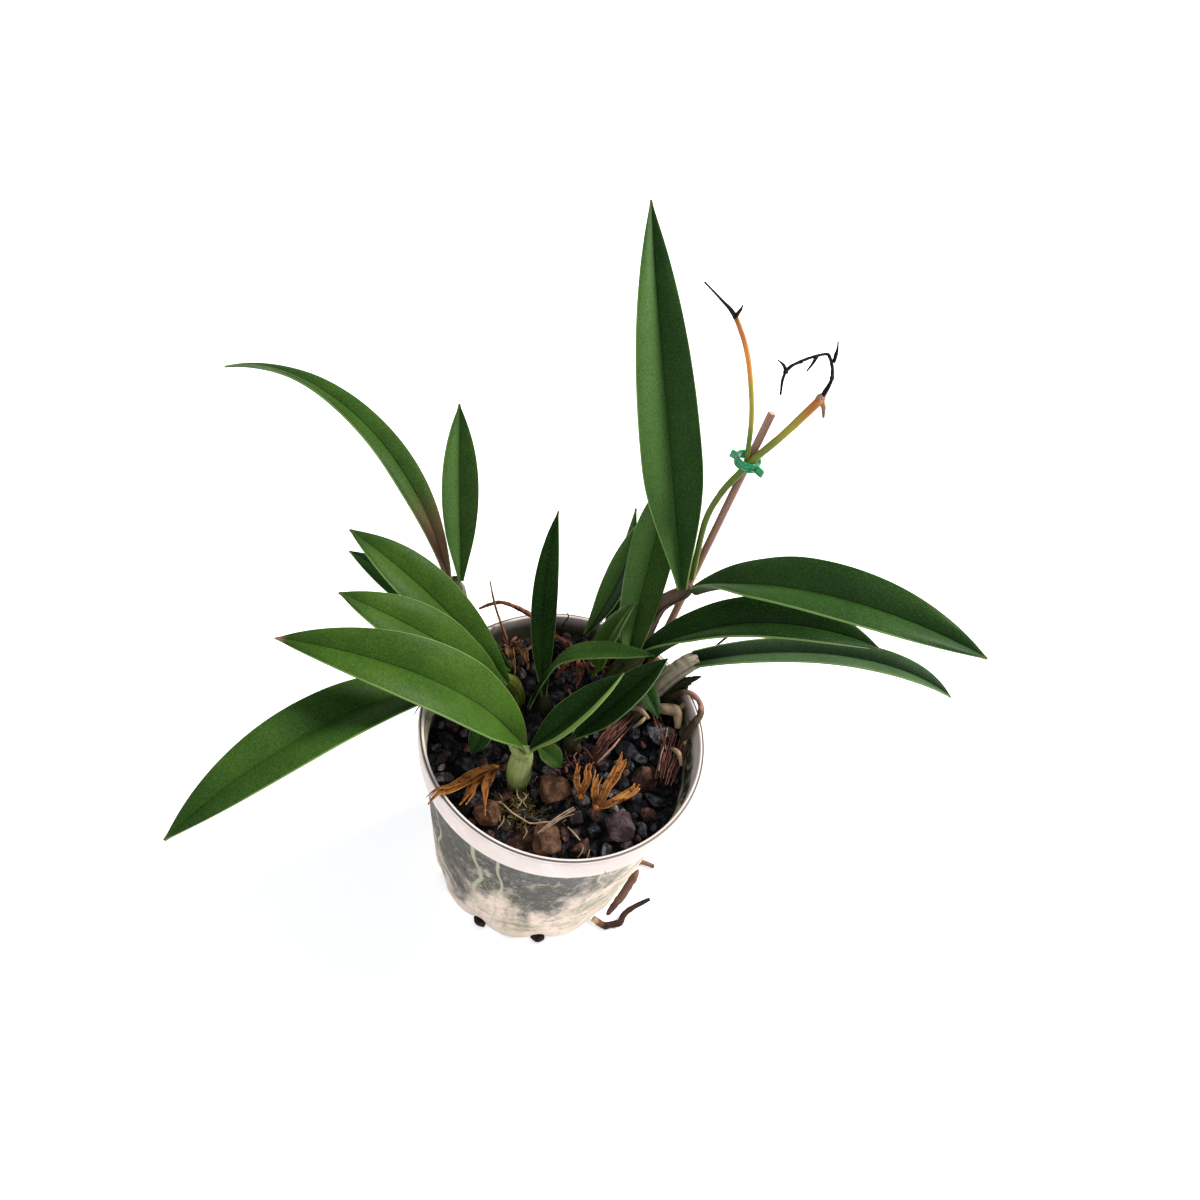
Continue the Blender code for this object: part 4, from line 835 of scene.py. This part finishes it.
# The dry sheaths. Papery bracts and old leaf bases that split from the growths, now orange-brown at the front
# and red-brown at the back, cupped, twisted and torn, each bunch still held by the knot it grew from.
STUB_BLADE = [(34, 31, 108, 1.6), (38, 33, 111, 3.4), (44, 37, 115.5, 3.6), (48, 40, 117.5, 2.6), (51, 42.5, 118, 0.4)]
SHEATHS = {
    "dry_sheath_left": [
        [(-23.3, -20.4, 104.8, 1.5), (-30, -29, 108, 3.0), (-37, -41, 114, 2.4), (-40.5, -46, 118, 1.5),
         (-43, -49.5, 115, 0.5)],
        [(-22.4, -20.6, 104.2, 1.4), (-24, -28, 107, 2.2), (-23.5, -34, 105.5, 1.6), (-22, -39, 104, 0.4)],
        [(-23.6, -20.9, 103.4, 1.6), (-28, -29, 105, 1.9), (-30, -36, 105, 2.2), (-32, -41, 105, 0.5)]],
    "dry_sheath_right": [
        [(21.7, -24.3, 105.4, 1.5), (23.5, -17, 109, 2.4), (27, -8, 111.5, 2.2), (28, -3, 110, 0.5)],
        [(22.3, -25.2, 104.8, 1.4), (28, -23, 108.5, 2.2), (33, -17, 110, 1.8), (34, -12, 108, 0.5)],
        [(20.6, -24.6, 104.7, 1.6), (18.5, -19, 108, 1.8), (18.5, -13, 109, 0.5)]],
    "dry_sheath_middle": [
        [(14.2, -21.5, 104.4, 1.3), (14.5, -16, 107, 1.9), (13.5, -11, 108, 1.4), (14, -8, 107.5, 0.5)],
        [(13.4, -21.8, 104.0, 1.2), (10.5, -16, 106.5, 1.6), (9.5, -11, 107, 0.5)]],
    "dry_stem_back": [
        [(-3.8, 38.4, 110.3, 1.5), (-6, 35, 113, 2.2), (-8, 31, 112, 1.6), (-9, 28, 109, 0.5)],
        [(-2.8, 38.2, 109.8, 1.4), (-1, 34, 113, 2.0), (0.5, 30, 111, 1.4), (0, 27, 108, 0.5)]],
    "dry_sheath_back_left": [
        [(-33.2, 36, 109.2, 1.5), (-31.5, 31.5, 113, 2.4), (-30, 27.5, 112.5, 1.8), (-29, 24.5, 109.5, 0.5)],
        [(-32.2, 36, 108.8, 1.4), (-27.5, 34.5, 112.5, 2.2), (-24, 31, 111.5, 1.6), (-22, 28.5, 109, 0.5)]],
}
KNOTS = {
    "dry_sheath_left": (-23, -20, 103.6),
    "dry_sheath_right": (21.5, -25, 104.4),
    "dry_sheath_middle": (14, -22, 103.4),
    "dry_stem_back": (-3, 39, 109.6),
    "dry_sheath_back_left": (-33, 36.5, 108),
}
TENDRILS = {
    "dry_stem_back": [
        (-3.5, 39.5, 110.5, 1.3), (-9, 42.5, 114.5, 1.2), (-16, 45, 115, 1.1), (-27.7, 48, 120.5, 1.1),
        (-39.3, 48.5, 123, 0.9), (-45, 48, 120.5, 0.8), (-50, 47, 116, 0.5)],
    "dry_sheath_back_left": [
        (-34, 37.5, 109.5, 0.9), (-36.5, 40, 114, 0.7), (-41.5, 44, 121, 0.55), (-44.5, 46.5, 127, 0.5),
        (-47.5, 49.5, 134, 0.35)],
}
# How wide the two torn layers are that lie over each strip, as a share of its width
TORN_WIDTHS = (0.55, 0.30)


def strap(name, points, across=8, along=34, curl=40.0, thickness=0.4, seed=0, ragged=0.05, twist=0.5):
    """A papery strip through (x, y, z, half width) points, cupped, waved and torn along its edges."""
    rows = []
    previous = None
    for j in range(along + 1):
        row = smooth_path(points, j / along)
        ahead = Vector(smooth_path(points, min(1, (j + 1) / along))[:3])
        behind = Vector(smooth_path(points, max(0, (j - 1) / along))[:3])
        line = (ahead - behind).normalized()
        side = line.cross(Vector((0, 0, 1))).normalized()
        if previous and side.dot(previous) < 0:
            side = -side
        previous = side
        rows.append((Vector(row[:3]), row[3], side, side.cross(line)))
    offset = Vector((seed * 4.7, seed * 1.9, seed))

    def spot(i, j):
        centre, half, side, up = rows[j]
        a = 2 * i / across - 1
        turn = twist * (1 + math.sin(j / along * 3.0)) * noise.noise(offset + Vector((0, 0, j * 0.11)))
        cup = math.radians(curl) * abs(a) + turn * (1 if a > 0 else -1)
        tear = 1 + ragged * noise.noise(offset + Vector((3 * a, j * 0.6, 5))) * abs(a)
        tear *= min(1.0, 2.0 * (1 - j / along)) ** 0.8
        wave = 0.25 * noise.noise(offset + Vector((2 * a, j * 0.25, 0)))
        return centre + side * (half * a * math.cos(cup) * tear) + up * (half * abs(a) * math.sin(abs(cup)) + wave)

    piece = from_grid(name, across, along, spot)
    paper = piece.modifiers.new("Paper", "SOLIDIFY")
    paper.thickness = thickness * MM
    paper.offset = 0.0
    bpy.ops.object.modifier_apply(modifier="Paper")
    return piece


def papery(name, under, over, dark_streak):
    finish, shader = new_finish(name, under, 0.6, 0.15)
    place, sheet = spots(shader)
    fibres = clouds(stretched(sheet, (16, 1.5, 1)), 1.0, 5, 0.65, 0.3)
    body = paint(under, (fibres, 0.40, 0.62, 1, over), (clouds(place, 330, 5, 0.65), 0.50, 0.66, 1, dark_streak),
                 (axes(sheet)[1], 0.35, 0.0, 0.75, dark_streak))
    dress(shader, body, fibres, 0.5, 0.0005)
    return finish


orange_paper = papery("orange_paper", (0.28, 0.085, 0.018), (0.56, 0.26, 0.065), (0.070, 0.020, 0.009))
ochre_paper = papery("ochre_paper", (0.15, 0.060, 0.022), (0.36, 0.19, 0.075), (0.035, 0.016, 0.009))
brown_paper = papery("brown_paper", (0.085, 0.022, 0.012), (0.26, 0.085, 0.040), (0.014, 0.005, 0.004))
draw = random.Random(17)
for index, (name, strips) in enumerate(SHEATHS.items()):
    bunch = []
    for number, points in enumerate(strips):
        seed = 10 * index + number
        bunch.append(strap("strip", points, seed=seed))
        for torn, share in enumerate(TORN_WIDTHS):
            sway = Vector((draw.uniform(-1, 1), draw.uniform(-1, 1), draw.uniform(-0.8, 0.9)))
            frayed = []
            for step, (x, y, z, half) in enumerate(points):
                spread = sway * 0.9 * step
                frayed.append((x + spread.x, y + spread.y, z + spread.z, half * share))
            bunch.append(strap("strip", frayed, across=4, seed=seed + 5 * torn, curl=50, ragged=0.08, twist=0.9))
    if name in TENDRILS:
        bunch.append(rod("tendril", TENDRILS[name], 10, 70, 0.06, 4, index, 0.25))
    bunch.append(rock_at(KNOTS[name], 1.7, "knot", 4, 70 + index, 1.0, 5, 0.25))
    rear = "back" in name
    paper = ochre_paper if "back_left" in name else brown_paper if rear else orange_paper
    settle(join(name + "_bunch", bunch), paper, "dry_brown" if rear else "dry_orange", name, angle=60)

blade = strap("old_sheath_blade", STUB_BLADE, across=10, along=30, curl=25, thickness=0.8, seed=91, ragged=0.45)
settle(blade, bpy.data.materials["old_sheath_stub_skin"], "dead_sheath", angle=50)

# The roots. Thick cords with a dull brown skin: one climbs over the rim and back into the gravel, others have
# left by the drain slots, along the table or up the outside of the wall.
ROOTS = {
    "root_at_rim": [
        (40, 32, 110, 1.2), (43, 32.5, 115.5, 1.2), (48, 31, 120, 1.2), (53, 27, 119.7, 1.2),
        (53.7, 22, 118.5, 1.5), (51.3, 18, 114, 1.7), (50, 15.5, 108, 1.5)],
    "root_on_table": [
        (37, -26.6, 2.4, 1.6), (40, -27.8, 2.0, 1.6), (43.5, -28.5, 1.9, 1.7), (46.5, -27, 1.8, 1.6),
        (50, -25, 1.8, 1.6), (51.5, -20, 1.7, 1.4), (55, -15.5, 1.6, 1.3), (58, -12.5, 1.4, 1.1),
        (62, -9, 1.2, 0.8)],
    "root_up_wall": [
        (43.3, -24, 4.5, 0.8), (44.3, -22.6, 9, 1.5), (47.3, -18, 18, 1.9), (49.6, -13, 27, 1.9),
        (50.6, -10.5, 31, 0.6)],
    "root_behind": [(45.5, 0.5, 2.4, 1.2), (48.5, 3.5, 1.8, 1.2), (54, 8.5, 1.6, 1.3), (61, 8.0, 1.4, 1.0)],
}
# Seen from a drain slot: how far out, aside and up, and the radius
ROOT_TIP = [(43.8, -2.8, 2.4, 1.2), (45.6, 0, 2.1, 1.9), (45.0, 3.2, 1.7, 1.3)]
for name, turn in (("root_tip_left", SLOT_FIRST), ("root_tip_front", SLOT_FIRST + pitch)):
    out, beside = direction(turn, 0), direction(turn + 90, 0)
    ROOTS[name] = [(*(out * far + beside * aside + Vector((0, 0, up))), radius) for far, aside, up, radius in ROOT_TIP]
ROOT_COLOURS = {
    "root_at_rim": [
        (0, (0.045, 0.030, 0.018)), (0.25, (0.24, 0.13, 0.095)), (0.6, (0.075, 0.052, 0.030)),
        (0.75, (0.040, 0.032, 0.016))],
    "root_on_table": [
        (0, (0.55, 0.38, 0.22)), (0.12, (0.16, 0.075, 0.045)), (0.22, (0.030, 0.013, 0.009)),
        (0.85, (0.010, 0.005, 0.004))],
    "root_up_wall": [(0, (0.10, 0.050, 0.036)), (0.4, (0.17, 0.085, 0.060)), (0.85, (0.22, 0.13, 0.10))],
}
WALL_ROOT = [(0, (0.30, 0.19, 0.13)), (0.5, (0.20, 0.11, 0.075)), (0.9, (0.12, 0.06, 0.04))]
NOTCH_ROOT = [(0, (0.015, 0.008, 0.006)), (0.6, (0.045, 0.018, 0.013)), (0.9, (0.015, 0.006, 0.005))]
for index, (name, points) in enumerate(ROOTS.items()):
    cord = rod(name + "_cord", points, 16, 14 * (len(points) - 1), 0.04, 5, 11 + index, 0.22)
    stops = ROOT_COLOURS.get(name, NOTCH_ROOT if "tip" in name else WALL_ROOT)
    settle(cord, stem_finish(name + "_skin", stops, 0.7), "root", name)

# Husk, moss and straw on top of the gravel. Frayed bundles of old root and bark fibre, a mossy patch under the
# front bulb, one long straw and a few loose hairs.
HUSKS = [
    ((15, -2, 101.5), (26, 21, 106.5), 5.0, 46, 1), ((46.5, -3, 100.5), (48, 19, 105), 6.5, 56, 2),
    ((36, 28, 104), (45, 12, 103.5), 3.0, 16, 3)]
EXTRA_FIBRES = [
    ((-6, 36, 110), (10, 34, 114), 3.0, 26, 4), ((-34, 33, 107), (-26, 36, 113), 3.5, 24, 5),
    ((12, 14, 100), (-2, 20, 102), 4.0, 26, 6), ((-2, -12, 99), (14, -6, 101), 4.5, 26, 7),
    ((-26, 8, 98), (-16, 2, 100), 4.0, 18, 8), ((20, 42, 108), (34, 36, 112), 3.0, 22, 9)]
MOSS_COUNT = 420
STRAWS = [
    ([(-20.3, -33.5, 101), (-16, -34.5, 103.5), (-11.5, -37.5, 104.5), (-7, -39, 104), (-2.8, -39.5, 103),
      (2, -38, 103.5), (6.8, -35.2, 103), (11, -30, 103.5), (13.1, -27.5, 103)], 0.34),
    ([(1.2, -43, 103), (5, -37, 104.5), (9, -31.5, 104.5), (12.6, -27.5, 103.5)], 0.36),
    ([(2.2, -42, 103.5), (7, -36, 105), (12.8, -29, 104.5)], 0.28),
    ([(4, -40, 103.4), (9, -34, 104.6), (13.5, -30.5, 103.5)], 0.26),
    ([(12, -36, 102.5), (15, -38, 103), (18, -40.5, 102)], 0.42),
    ([(20, -42.5, 103), (19.8, -45, 101.5), (19, -47, 100)], 0.22),
    ([(22.6, -43.6, 103), (22.8, -46, 101.5), (22.2, -48, 100)], 0.22),
    ([(28.6, -46, 102), (30, -49.5, 103), (31.6, -52, 103)], 0.3),
    ([(-9, -27, 103), (-7.5, -29, 104.5), (-8.5, -31, 103.8), (-6, -33.5, 104)], 0.3),
    ([(-12, -26, 103), (-11, -30, 104.8), (-9, -31.5, 104), (-10, -34.5, 103.5)], 0.3),
    ([(-15, -45, 101.5), (-13.5, -42, 103), (-14, -39, 102.5)], 0.25),
    ([(-4, -46, 101), (-3.4, -43, 102.6), (-5, -41, 102)], 0.25),
    ([(35, 27, 107), (40, 27, 110), (45, 27, 109), (47, 21, 106)], 2.6),
    ([(43, 27, 107), (47, 32, 109), (50, 36, 109)], 1.4), ([(25, 25, 105), (29, 24.5, 107.5), (34, 22, 106)], 1.3),
    ([(50, 27, 106), (51.5, 21, 109), (51, 14, 106)], 1.1), ([(46, 12, 104), (49.5, 9, 106.5), (52, 5, 104)], 1.2),
    ([(33, 24, 105), (31, 19, 106.5), (28, 17, 104)], 1.0)]
BRISTLES = [
    [(50.5, 46.5, 130.5), (54, 50, 134.5), (58.5, 54.5, 139), (64, 59, 143)],
    [(49.5, 45.5, 131), (52.5, 47, 132.5), (56, 49.5, 133)],
    [(-57.5, -4, 114.8), (-60.2, -7, 112), (-61.3, -10, 110)],
    [(-12.5, 47, 110), (-13, 50, 116), (-11.5, 52, 121), (-13.5, 53, 124)]]


def strand(points, radius, seed=0, around=4, along=8, wobble=0.0):
    """A fine fibre through (x, y, z) points that tapers to both ends."""
    draw = random.Random(seed)
    line = []
    for index, point in enumerate(points):
        share = index / (len(points) - 1)
        size = radius * (0.35 + 0.65 * math.sin(math.pi * (0.12 + 0.8 * share)))
        nudge = [draw.uniform(-wobble, wobble) for _ in range(3)]
        line.append((point[0] + nudge[0], point[1] + nudge[1], point[2] + nudge[2], size))
    return rod("strand", line, around, along)


def hair(root, reach, lift, bow, radius, seed, around, along):
    """A bent fibre from root, off in a random direction; the pairs are the least and the most."""
    heading = draw.uniform(0, 6.28)
    length = draw.uniform(*reach)
    bend = Vector((math.cos(heading), math.sin(heading), draw.uniform(*lift))) * length
    cross = Vector((-bend.y, bend.x, 0)) * draw.uniform(-bow, bow)
    made = strand([root, root + bend * 0.5 + cross, root + bend], draw.uniform(*radius), seed, around, along, 0.3)
    shade_of(made, draw.random())
    return made


husk = []
draw = random.Random(31)
for start, end, spread, count, seed in HUSKS:
    along = Vector(end) - Vector(start)
    across = along.cross(Vector((0, 0, 1))).normalized()
    for index in range(count):
        shift = across * draw.uniform(-spread, spread) * 0.75 + Vector((0, 0, draw.uniform(-1.2, 1.8)))
        first, last = sorted((draw.uniform(-0.08, 0.6), draw.uniform(0.35, 1.06)))
        shares = [first + (last - first) * step / 4 for step in range(5)]
        points = [Vector(start) + along * share + shift * (0.75 + 0.5 * share) for share in shares]
        husk.append(strand(points, draw.uniform(0.22, 0.62), 100 * seed + index, 4, 8, 0.5))
        shade_of(husk[-1], draw.random())
for start, end, spread, count, seed in EXTRA_FIBRES:
    for index in range(count):
        middle = Vector(start).lerp(Vector(end), draw.random())
        middle += Vector((draw.uniform(-1, 1), draw.uniform(-1, 1), draw.uniform(-0.4, 0.8))) * spread
        husk.append(hair(middle, (2.5, 6.5), (-0.2, 0.7), 0.4, (0.3, 0.9), 1000 * seed + index, 4, 7))
husk_skin, shader = new_finish("husk_fibre", (0.14, 0.06, 0.05), 0.7, 0.15)
shade = shade_note(shader)
dress(shader, paint((0.018, 0.006, 0.007), (shade, 0.0, 0.7, 1, (0.15, 0.060, 0.042)),
                    (shade, 0.80, 0.95, 1, (0.36, 0.20, 0.14))))
settle(join("husk_fibres", husk), husk_skin, "dry_brown")

moss = []
draw = random.Random(5)
for index in range(MOSS_COUNT):
    if index % 4:
        x, y = draw.gauss(-10, 5.0), draw.gauss(-32, 5.0)
    else:
        x, y = draw.uniform(-24, 12), draw.uniform(-46, 6)
    root = Vector((x, y, fill_height(x, y) + draw.uniform(-0.5, 2.2)))
    moss.append(hair(root, (1.4, 3.4), (-0.1, 0.6), 0.7, (0.12, 0.24), index, 3, 5))
moss_skin, shader = new_finish("moss", (0.10, 0.10, 0.03), 0.8, 0.15)
shade = shade_note(shader)
dress(shader, paint((0.034, 0.022, 0.006), (shade, 0.1, 0.7, 1, (0.12, 0.085, 0.024)),
                    (shade, 0.88, 0.95, 1, (0.36, 0.27, 0.13))))
settle(join("moss_hairs", moss), moss_skin, "dry_brown")

straw = []
for index, (points, radius) in enumerate(STRAWS):
    straw.append(strand(points, radius, index, 7, 10 * (len(points) - 1), 0.25))
    shade_of(straw[-1], 0.25 + 0.75 * (radius > 0.8))
straw_skin, shader = new_finish("straw", (0.45, 0.33, 0.19), 0.6)
shade = shade_note(shader)
mottle = clouds(spots(shader)[0], 300, 4, 0.6)
dress(shader, paint((0.27, 0.18, 0.10), (mottle, 0.4, 0.65, 1, (0.42, 0.32, 0.20)),
                    (shade, 0.6, 0.9, span(mottle, 0.5, 0.62), (0.22, 0.19, 0.09))))
settle(join("straw_and_pale_roots", straw), straw_skin, "root")

bristles = [strand(points, 0.5 if index < 2 else 0.3, 50 + index, 6, 24, 0.15)
            for index, points in enumerate(BRISTLES)]
settle(join("black_bristles", bristles), dried, "dead_sheath")

# The studio: a plain white table top, soft light from the right and behind, a pale room all round, and the
# camera where the photographer stood, above the front of the pot and turned a little.
bpy.ops.mesh.primitive_plane_add(size=8)
table_top = bpy.context.object
table_top.name = "table_top"
white, shader = new_finish("white_table", (0.90, 0.90, 0.90), 0.9)
shader.inputs["Emission Color"].default_value = (0.96, 0.98, 1.0, 1)
shader.inputs["Emission Strength"].default_value = 0.46
table_top.data.materials.append(white)


def soft_light(name, place, size, power, colour):
    bpy.ops.object.light_add(type="AREA", location=place)
    lamp = bpy.context.object
    lamp.name = name
    lamp.data.shape = "DISK"
    lamp.data.size = size
    lamp.data.energy = power
    lamp.data.color = colour
    lamp.rotation_euler = (Vector((0, 0, 0.12)) - Vector(place)).to_track_quat("-Z", "Y").to_euler()


soft_light("window", (0.95, 0.75, 1.25), 0.7, 54, (1.0, 0.97, 0.92))
soft_light("room_bounce", (-0.7, -0.9, 1.5), 1.6, 9, (0.92, 0.96, 1.0))
world = bpy.data.worlds.new("pale_room")
bpy.context.scene.world = world
world.use_nodes = True
room = world.node_tree.nodes["Background"].inputs
room["Color"].default_value = (0.93, 0.96, 1.0, 1)
room["Strength"].default_value = 0.52

CAMERA_PITCH = math.radians(51.85)
CAMERA_ROLL = math.radians(15.6)
CAMERA_SPOT = (-0.0001, -0.2631, 0.5397)
bpy.ops.object.camera_add(location=CAMERA_SPOT)
camera = bpy.context.object
back = Vector((0, -math.cos(CAMERA_PITCH), math.sin(CAMERA_PITCH)))
level = Vector((1, 0, 0))
upright = back.cross(level)
turned_right = level * math.cos(CAMERA_ROLL) + upright * math.sin(CAMERA_ROLL)
turned_up = upright * math.cos(CAMERA_ROLL) - level * math.sin(CAMERA_ROLL)
stand = Matrix((turned_right, turned_up, back)).transposed().to_4x4()
stand.translation = camera.location
camera.matrix_world = stand
camera.data.lens = 36
camera.data.sensor_width = 36
camera.data.clip_start = 0.01
bpy.context.scene.camera = camera
bpy.context.scene.view_settings.view_transform = "Standard"
